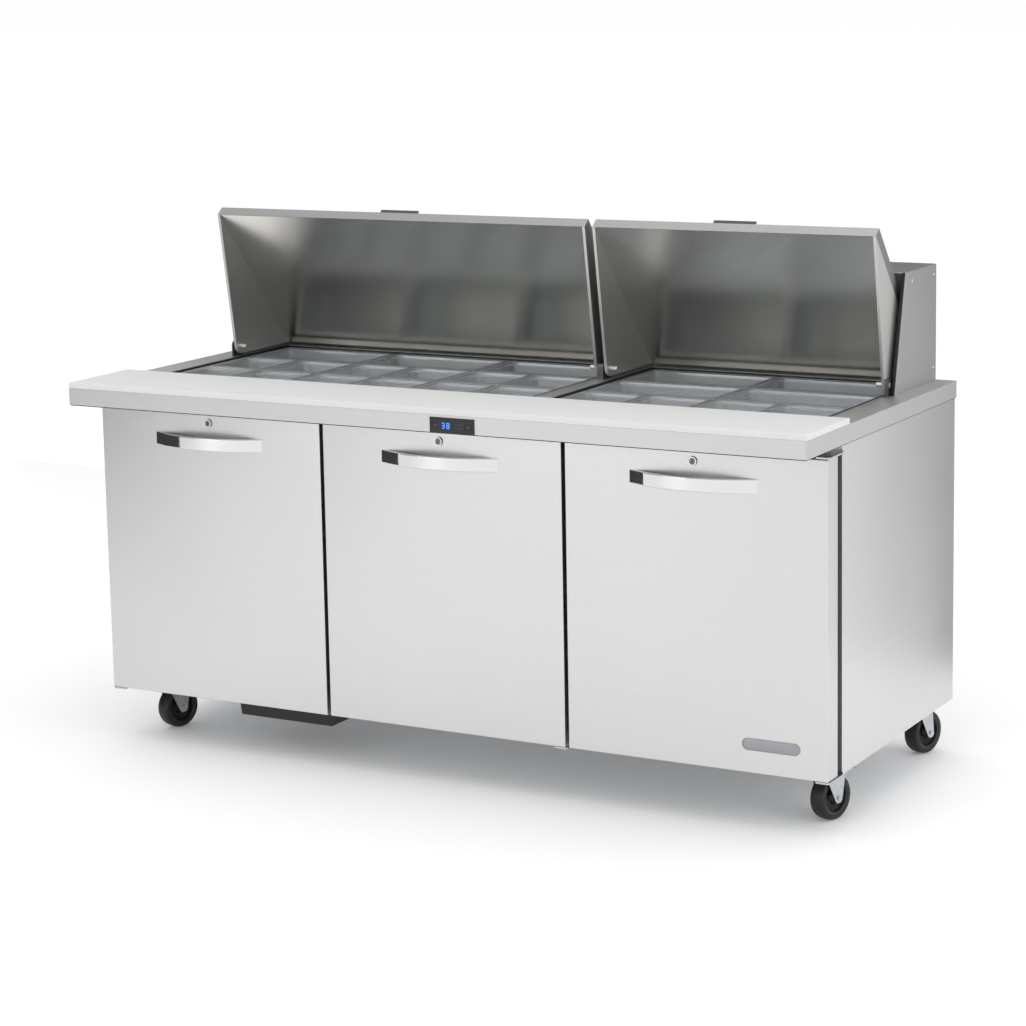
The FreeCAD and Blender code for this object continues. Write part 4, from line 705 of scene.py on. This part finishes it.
# --- Door handles -------------------------------------------------------------------------------
# Each pull is a die-cast strap, chrome plated: a shallow bow with a flat front, thicker towards
# the feet, and softly rounded long edges.


def bowed(centre_x, base_y, radius, spread, bow, along, flat):
    """A point on an arc that stands off the door, or on its straight end."""
    def arc(share):
        return (centre_x + radius * math.sin(spread * share),
                base_y - (radius * math.cos(spread * share) - radius + bow))
    if abs(along) <= flat:
        return arc(along)
    side = math.copysign(1, along)
    start, end, share = arc(flat * side), arc(side), (abs(along) - flat) / (1 - flat)
    return (start[0] + (end[0] - start[0]) * share, start[1] + (end[1] - start[1]) * share)


def strap_handle(name, low, high, material, flat=0.7):
    """A bowed strap between two feet on the door face, at the far side of the box. Past the flat
    share of its half length the bow runs straight to the foot."""
    half, bow = (high.x - low.x) / 2, high.y - low.y
    centre_x, tall = (low.x + high.x) / 2, high.z - low.z
    radius = (half * half + bow * bow) / (2 * bow)
    spread = math.asin(half / radius)
    foot_long, strap_thick = 13 * MM, 6 * MM
    inner_half, inner_bow = half - foot_long, bow - strap_thick
    inner_radius = (inner_half ** 2 + inner_bow ** 2) / (2 * inner_bow)
    inner_spread = math.asin(inner_half / inner_radius)
    steps, corner = 40, 1.8 * MM
    sections = []
    for step in range(steps + 1):
        along = 2 * step / steps - 1
        outer = bowed(centre_x, high.y, radius, spread, bow, along, flat)
        inner = bowed(centre_x, high.y, inner_radius, inner_spread, inner_bow, along, flat)
        section = []
        for (x, y), back in ((outer, inner), (inner, outer)):
            run = [back[0] - x, back[1] - y]
            length = math.hypot(*run)
            ease = min(corner, length * 0.3)
            eased = (x + run[0] / length * ease, y + run[1] / length * ease)
            near, far = (low.z, high.z) if (x, y) == outer else (high.z, low.z)
            sign = 1 if far > near else -1
            section += [(eased[0], eased[1], near), (x, y, near + sign * corner),
                        (x, y, far - sign * corner), (eased[0], eased[1], far)]
        sections.append(section)
    return ringed_mesh(name, sections, material)


for door in ("left", "middle", "right"):
    low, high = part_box("door_" + door + "_handle")
    handle = strap_handle("door_" + door + "_strap", low, high, chrome)
    join_up(smooth_edges(handle, 0.8, 8), "door_" + door + "_handle")

# --- Badge --------------------------------------------------------------------------------------
# A plain badge, die cast in zinc with a satin domed face, is glued low on the right door. Its ends
# are round and its rim is eased.
low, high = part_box("door_right_panel")
badge_x, badge_z = high.x - 127 * MM, low.z + 62 * MM
half_long, half_tall = 66, 13
badge_rings = []
for inset, proud in ((0, -0.3), (0, 1.2), (0.8, 2.2), (4.0, 3.0), (9.0, 3.4)):
    long, tall = (half_long - inset) * MM, (half_tall - inset) * MM
    ring = rounded_ring(badge_x - long, badge_x + long, badge_z - tall, badge_z + tall, 0,
                        max(12.5 - inset, 3) * MM)
    badge_rings.append([(x, low.y - proud * MM, z) for x, z, zero in ring])
badge_zinc = brushed_steel("satin_zinc_badge", "#9C9DA0", 0.32, "x")
badge = smooth_edges(ringed_mesh("door_badge", badge_rings, badge_zinc), 0, 50)
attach(badge, "door_right")

# --- Hinges and lid pivots ----------------------------------------------------------------------
# Pressed steel plates with a bright zinc plating: cartridge hinge plates above and below each door
# and the slotted shelf strips. The upright plates that carry the lids' pins are dark brushed stainless.


def zinc_plating(name, code):
    """Bright zinc with a faint blue cast and cloudy passivation."""
    material, tree, shader = new_material(name)
    cloud = add_node(tree, "ShaderNodeTexNoise", {
        "Vector": pattern_space(tree, (70, 70, 70)), "Scale": 1.0, "Detail": 3.0})
    shade = add_node(tree, "ShaderNodeMixRGB", {
        "Fac": cloud.outputs[0], "Color1": linear(code), "Color2": linear(code, 0.75)})
    blur = add_node(tree, "ShaderNodeMapRange", {"Value": cloud.outputs[0], "To Min": 0.2, "To Max": 0.36})
    give(tree, shader, {"Base Color": shade.outputs[0], "Roughness": blur.outputs[0], "Metallic": 1.0})
    return material


zinc = zinc_plating("bright_zinc_plate", "#C6CACF")
for node in ("door_hinges", "shelf_pilasters"):
    sheet_piece(node, zinc, 0.4)
sheet_piece("lid_pivot_brackets", brushed_steel("dark_stainless_bracket", "#5E5F61", 0.34, "z"), 0.4)

# --- Controller ---------------------------------------------------------------------------------
# A glossy black snap-in thermostat in the apron: a bezel with two keys, a dark window, two blue
# seven-segment digits, and a few faint printed marks.


def glossy_plastic(name, code, rough=0.12):
    material, tree, shader = new_material(name)
    smear = add_node(tree, "ShaderNodeTexNoise", {
        "Vector": pattern_space(tree, (120, 120, 120)), "Scale": 1.0})
    blur = add_node(tree, "ShaderNodeMapRange", {
        "Value": smear.outputs[0], "To Min": rough * 0.5, "To Max": rough * 1.8})
    give(tree, shader, {"Roughness": blur.outputs[0], "Base Color": linear(code)})
    return material


def flat_bars(name, bars, y, thick, material):
    """Thin plates facing the front: each bar is its centre x, z, width and height."""
    return box_mesh(name, [(x - width / 2, x + width / 2, y - thick, y, z - height / 2, z + height / 2)
                           for x, z, width, height in bars], material)


def lit_display(name, code, strength):
    material, tree, shader = new_material(name)
    give(tree, shader, {
        "Base Color": linear(code), "Emission Color": linear(code), "Emission Strength": strength})
    return material


gloss = glossy_plastic("glossy_black_abs", "#0D0E10")
for node in ("controller_housing", "key_down", "key_up"):
    sheet_piece(node, gloss, 0.4)
low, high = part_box("controller_housing")
middle_z = (low.z + high.z) / 2
window_x = low.x + 40 * MM
face_y = low.y
smoked = glossy_plastic("smoked_display_window", "#05070C", 0.05)
window = flat_bars("controller_window", [(window_x, middle_z, 38 * MM, 20 * MM)], face_y, 0.25 * MM, smoked)
# Each segment's centre x and z, width and height in millimetres.
SEGMENTS = {"a": (0, 5.6, 5, 1.2), "b": (2.8, 2.9, 1.2, 4.6), "c": (2.8, -2.9, 1.2, 4.6),
            "d": (0, -5.6, 5, 1.2), "e": (-2.8, -2.9, 1.2, 4.6), "f": (-2.8, 2.9, 1.2, 4.6),
            "g": (0, 0, 5, 1.2)}
lit = []
for shift, shown in ((-6, "abcdg"), (6, "abcdefg")):
    for letter in shown:
        x, z, width, height = SEGMENTS[letter]
        lit.append((window_x + (shift + x) * MM, middle_z + z * MM, width * MM, height * MM))
blue_led = lit_display("blue_led", "#2F7BFF", 3.0)
digits = flat_bars("controller_digits", lit, face_y - 0.2 * MM, 0.2 * MM, blue_led)
marks = []
for rise, count, thick in ((4, 6, 0.7), (-4, 5, 0.5)):
    marks += [(low.x + (64 + 4 * i) * MM, middle_z + rise * MM, 3 * MM, thick * MM) for i in range(count)]
print_grey = glossy_plastic("grey_pad_printing", "#5A5D63", 0.4)
printed = flat_bars("controller_marks", marks, face_y, 0.15 * MM, print_grey)
for piece in (window, digits, printed):
    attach(piece, "cabinet")
for key, rise in (("key_down", -1), ("key_up", 1)):
    low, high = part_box(key)
    x, z, y = (low.x + high.x) / 2, (low.z + high.z) / 2, low.y - 0.15 * MM
    half = 2.2 * MM
    tips = [(x - half, z - rise * half), (x + half, z - rise * half), (x, z + rise * half)]
    points = [(a, y, b) for a, b in tips] + [(a, low.y + 0.1 * MM, b) for a, b in tips]
    arrow_faces = [(0, 1, 2), (3, 5, 4), (0, 3, 4, 1), (1, 4, 5, 2), (2, 5, 3, 0)]
    arrow = faces_out(mesh_piece(key + "_arrow", points, arrow_faces, print_grey))
    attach(arrow, key)

# --- Lids and hood ------------------------------------------------------------------------------
# Each lid is a foamed stainless panel on two wedge-shaped end walls, lined with polished sheet,
# and lies back into a brushed hood behind the wells. A dark ledge on its top edge is the pull.
hood_steel = brushed_steel("brushed_stainless_hood", "#CACAC9", 0.30, "x")
# The lid shell's stainless is a darker copy of the hood's: painted shade, so the lid's top edge band reads
# dark.
lid_steel_darkened_for_shade = brushed_steel("brushed_stainless_lid_painted_shade", "#A0A0A0", 0.30, "x")
end_steel = brushed_steel("satin_stainless_lid_end", "#D2D1CE", 0.42, "z")
mirror_lining = brushed_steel("polished_stainless_lid_lining", "#DEDCD7", 0.24, "x", 3.5, relief=0.0)
pull_coat = moulded_plastic("dark_grey_powder_coat", "#3A3B3E", 0.5, 1.5, 0.15)
sheet_piece("hood_panels", hood_steel, 0.5)
for lid in ("left", "right"):
    sheet_piece("lid_" + lid + "_shell", lid_steel_darkened_for_shade, 0.5)
    sheet_piece("lid_" + lid + "_liner", mirror_lining, 0)
    sheet_piece("lid_" + lid + "_ends", end_steel, 0.4)
    sheet_piece("lid_" + lid + "_pull", pull_coat, 0.6)

# --- Casters ------------------------------------------------------------------------------------
# Four plate casters with pressed, zinc-plated forks, black rubber tyres on nylon hubs, and a black
# foot brake on the front pair.


def turned_on(axis, name, centre, profile, material, steps):
    """A profile of (along, radius) points turned round the X or Y axis through the centre."""
    rings = []
    for along, radius in profile:
        ring = []
        for i in range(steps):
            angle = 2 * math.pi * i / steps
            side, up = radius * math.cos(angle), radius * math.sin(angle)
            dx, dy = (along, side) if axis == "x" else (side, along)
            ring.append((centre.x + dx, centre.y + dy, centre.z + up))
        rings.append(ring)
    return ringed_mesh(name, rings, material)


rubber = moulded_plastic("black_rubber_tyre", "#0B0B0C", 0.5, 2.5, 0.2)
nylon = moulded_plastic("black_nylon_hub", "#141517", 0.36, 1.6, 0.1)
# Half a wheel's section in millimetres, drawn for a radius of 50 and a tread 30 wide.
DRAWN_RADIUS, DRAWN_HALF, hub_proud = 50, 15, 1 * MM
TREAD = ((-9, 37), (-15, 37.5), (-15, 44), (-13.5, 47.2), (-10, 49.2), (-5, 50), (5, 50), (10, 49.2),
         (13.5, 47.2), (15, 44), (15, 37.5), (9, 37))
HUB = ((-16, 7.5), (-16, 13), (-12, 15), (-9, 17), (-9, 31), (-13, 33), (-14.5, 37.6), (-12, 38),
       (12, 38), (14.5, 37.6), (13, 33), (9, 31), (9, 17), (12, 15), (16, 13), (16, 7.5))
axles = {joint["child"]: Vector(joint["axis"]) for joint in record["behaviour"]["joints"]
         if joint["child"].startswith("wheel_")}
for place in ("front_left", "front_right", "rear_left", "rear_right"):
    node = "caster_" + place + "_wheel"
    low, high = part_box(node)
    centre = (low + high) / 2
    radius = (high.z - low.z) / 2
    axle = axles["wheel_" + place]
    spread = [vertex.co.dot(axle) for vertex in frame["nodes"][node].data.vertices]
    wide = ((max(spread) - min(spread)) / 2 - hub_proud) / DRAWN_HALF
    swing = Matrix.Rotation(math.atan2(axle.y, axle.x), 4, "Z")
    tread = [(x * wide, r / DRAWN_RADIUS * radius) for x, r in TREAD]
    hub_section = [(x * wide, r * MM) for x, r in HUB]
    tyre = turned_on("x", "tyre", centre, tread, rubber, 48)
    hub = turned_on("x", "hub", centre, hub_section, nylon, 48)
    wheel = merge_pieces("caster_" + place + "_tyre_and_hub", [tyre, hub])
    wheel.data.transform(Matrix.Translation(centre) @ swing @ Matrix.Translation(-centre))
    join_up(smooth_edges(wheel, 0, 35), node)
    sheet_piece("caster_" + place + "_fork", zinc, 0.5)
sheet_piece("caster_plates", zinc, 0.5)
for place in ("front_left", "front_right"):
    sheet_piece("caster_" + place + "_brake", black_abs, 0.8)
bumper_rubber = moulded_plastic("black_rubber_bumper", "#1C1C1D", 0.65, 2.0, 0.2)
sheet_piece("rear_bumpers", bumper_rubber, 0)

# --- Shelves ------------------------------------------------------------------------------------
# Welded wire shelves with an epoxy coating, hooked on clips in slotted strips. Each is a flat rack
# of thin wires on thicker rods.


def coated_wire(name, code):
    material, tree, shader = new_material(name)
    orange_peel = add_node(tree, "ShaderNodeTexNoise", {
        "Vector": pattern_space(tree, (300, 300, 300)), "Scale": 1.0})
    bump = add_node(tree, "ShaderNodeBump", {
        "Height": orange_peel.outputs[0], "Strength": 0.1, "Distance": MM})
    give(tree, shader, {"Normal": bump.outputs[0], "Base Color": linear(code), "Roughness": 0.35})
    return material


wire_grey = coated_wire("epoxy_coated_wire", "#DFE1E3")
wire_tree, given, output = new_tree("shelf wires", [
    ("Count", "Int"), ("Step", "Vector"), ("Length", "Float"), ("Wire radius", "Float"),
    ("Turn", "Rotation"), ("Start", "Vector"), ("Finish", "Material")])
line = add_node(wire_tree, "GeometryNodeMeshLine", {
    "Count": given.outputs["Count"], "Start Location": given.outputs["Start"],
    "Offset": given.outputs["Step"]}, mode="OFFSET")
wire = add_node(wire_tree, "GeometryNodeMeshCylinder", {
    "Vertices": 10, "Radius": given.outputs["Wire radius"], "Depth": given.outputs["Length"]})
wires = add_node(wire_tree, "GeometryNodeInstanceOnPoints", {
    "Points": line.outputs[0], "Instance": wire.outputs["Mesh"], "Rotation": given.outputs["Turn"]})
close_tree(wire_tree, given, output, wires.outputs[0])
ALONG_X, ALONG_Y = (0, math.radians(90), 0), (math.radians(90), 0, 0)


def wire_row(name, count, start, step, length, radius, turn):
    return grown(name, wire_tree, [], {
        "Count": count, "Start": start, "Step": step, "Length": length, "Wire radius": radius,
        "Turn": turn, "Finish": wire_grey})


low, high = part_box("shelves")
door_low, door_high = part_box("door_middle_panel")
bay = (door_high.x - door_low.x + 9 * MM) / 2
clear, rod, thin = 8 * MM, 2.5 * MM, 1.5 * MM
rods, thin_wires = 4, 22
shelf_parts = []
for left, right in ((low.x - clear, -bay), (-bay, bay), (bay, high.x + clear)):
    a, b = left + clear + rod, right - clear - rod
    z, deep = low.z + rod, high.y - low.y
    y, pitch = low.y + deep / 2, (b - a) / (thin_wires + 1)
    shelf_parts += [
        wire_row("shelf_rods", rods, ((a + b) / 2, low.y + rod, z), (0, (deep - 2 * rod) / (rods - 1), 0),
                 b - a + 2 * rod, rod, ALONG_X),
        wire_row("shelf_ends", 2, (a, y, z), (b - a, 0, 0), deep, rod, ALONG_Y),
        wire_row("shelf_wires", thin_wires, (a + pitch, y, high.z - thin), (pitch, 0, 0), deep, thin,
                 ALONG_Y)]
wire_shelves = merge_pieces("wire_shelves", shelf_parts)
join_up(smooth_edges(wire_shelves, 0, 40), "shelves")

# --- Cooling unit -------------------------------------------------------------------------------
# Behind the grille sit a black enamelled compressor and a finned condenser with its fan, and under
# the wells hangs the evaporator with its own fan.


def drawn_metal(name, code):
    """Bare fin or tube, rolled or drawn bright and slightly clouded by handling."""
    material, tree, shader = new_material(name)
    cloud = add_node(tree, "ShaderNodeTexNoise", {
        "Vector": pattern_space(tree, (40, 40, 40)), "Scale": 1.0, "Detail": 3.0})
    shade = add_node(tree, "ShaderNodeMixRGB", {
        "Fac": cloud.outputs[0], "Color1": linear(code), "Color2": linear(code, 0.7)})
    give(tree, shader, {"Base Color": shade.outputs[0], "Metallic": 1.0, "Roughness": 0.36})
    return material


fin_metal = drawn_metal("aluminium_fin_stock", "#C9CDD0")
copper = drawn_metal("drawn_copper_tube", "#C07A50")
fin_tree, given, output = new_tree("coil fins", [
    ("Count", "Int"), ("Start", "Vector"), ("Step", "Vector"), ("Fin size", "Vector"),
    ("Finish", "Material")])
line = add_node(fin_tree, "GeometryNodeMeshLine", {
    "Count": given.outputs["Count"], "Start Location": given.outputs["Start"],
    "Offset": given.outputs["Step"]}, mode="OFFSET")
fin = add_node(fin_tree, "GeometryNodeMeshCube", {"Size": given.outputs["Fin size"]})
fins = add_node(fin_tree, "GeometryNodeInstanceOnPoints", {
    "Points": line.outputs[0], "Instance": fin.outputs["Mesh"]})
close_tree(fin_tree, given, output, fins.outputs[0])


def tube_bend(name, x, y, z0, z1, out, radius, material):
    """A half-round copper bend between two tubes at the coil's end, bulging out along X."""
    rings, steps, sides = [], 12, 10
    middle, half = (z0 + z1) / 2, (z1 - z0) / 2
    for step in range(steps + 1):
        angle = math.pi * step / steps
        centre = Vector((x + out * half * math.sin(angle), y, middle - half * math.cos(angle)))
        outward = Vector((out * math.sin(angle), 0, -math.cos(angle)))
        ring = []
        for i in range(sides):
            turn = 2 * math.pi * i / sides
            ring.append(tuple(centre + outward * radius * math.cos(turn)
                              + Vector((0, 1, 0)) * radius * math.sin(turn)))
        rings.append(ring)
    return ringed_mesh(name, rings, material)


def coil_with_motor(node, motor_front, fan):
    """A block of fins between two end plates, with tube bends, and the fan's motor before it."""
    low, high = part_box(node)
    front, end = low.y + motor_front, 12 * MM
    deep, tall, long = high.y - front, high.z - low.z, high.x - low.x - 2 * end
    pitch = 3.2 * MM
    count = int(long / pitch)
    start = (low.x + end + (long - (count - 1) * pitch) / 2, (front + high.y) / 2, (low.z + high.z) / 2)
    parts = [grown("fins", fin_tree, [], {
        "Count": count, "Start": start, "Step": (pitch, 0, 0), "Fin size": (0.35 * MM, deep, tall),
        "Finish": fin_metal})]
    half_plate, bend_lift, bend_radius = 0.8 * MM, 0.5 * MM, 4 * MM
    for x in (low.x + end, high.x - end):
        outline = rounded_ring(front, high.y, low.z, high.z, 0, 3 * MM)
        faces = [[(x + t, a, b) for a, b, zero in outline] for t in (-half_plate, half_plate)]
        parts.append(ringed_mesh("end_plate", faces, galvanised))
    rise = 25 * MM
    for y in (front + deep * 0.3, front + deep * 0.7):
        for row in range(int(tall / rise) // 2):
            z = low.z + rise * (0.5 + 2 * row)
            for x, out in ((high.x - end + bend_lift, 0.9), (low.x + end - bend_lift, -0.9)):
                parts.append(tube_bend("bend", x, y, z, z + rise * 0.8, out, bend_radius, copper))
    hub_low, hub_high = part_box(fan)
    centre = (hub_low + hub_high) / 2
    centre.y = low.y
    motor = [(0, 3 * MM), (0, 12 * MM), (1.5 * MM, 14 * MM), (motor_front - 0.5 * MM, 14 * MM),
             (motor_front, 12 * MM)]
    parts.append(turned_on("y", "motor", centre, motor, fan_black, 32))
    return join_up(smooth_edges(merge_pieces(node + "_finned", parts), 0, 40), node)


fan_black = moulded_plastic("black_fan_moulding", "#1B1C1F", 0.4, 1.5, 0.1)
coil_with_motor("evaporator_coil", 6 * MM, "evaporator_fan")
coil_with_motor("condenser_coil", 6 * MM, "condenser_fan")
sheet_piece("evaporator_fan", fan_black, 0.4)
sheet_piece("condenser_fan", fan_black, 0.4)
sheet_piece("compressor", glossy_plastic("black_compressor_enamel", "#101113", 0.3), 1.5)
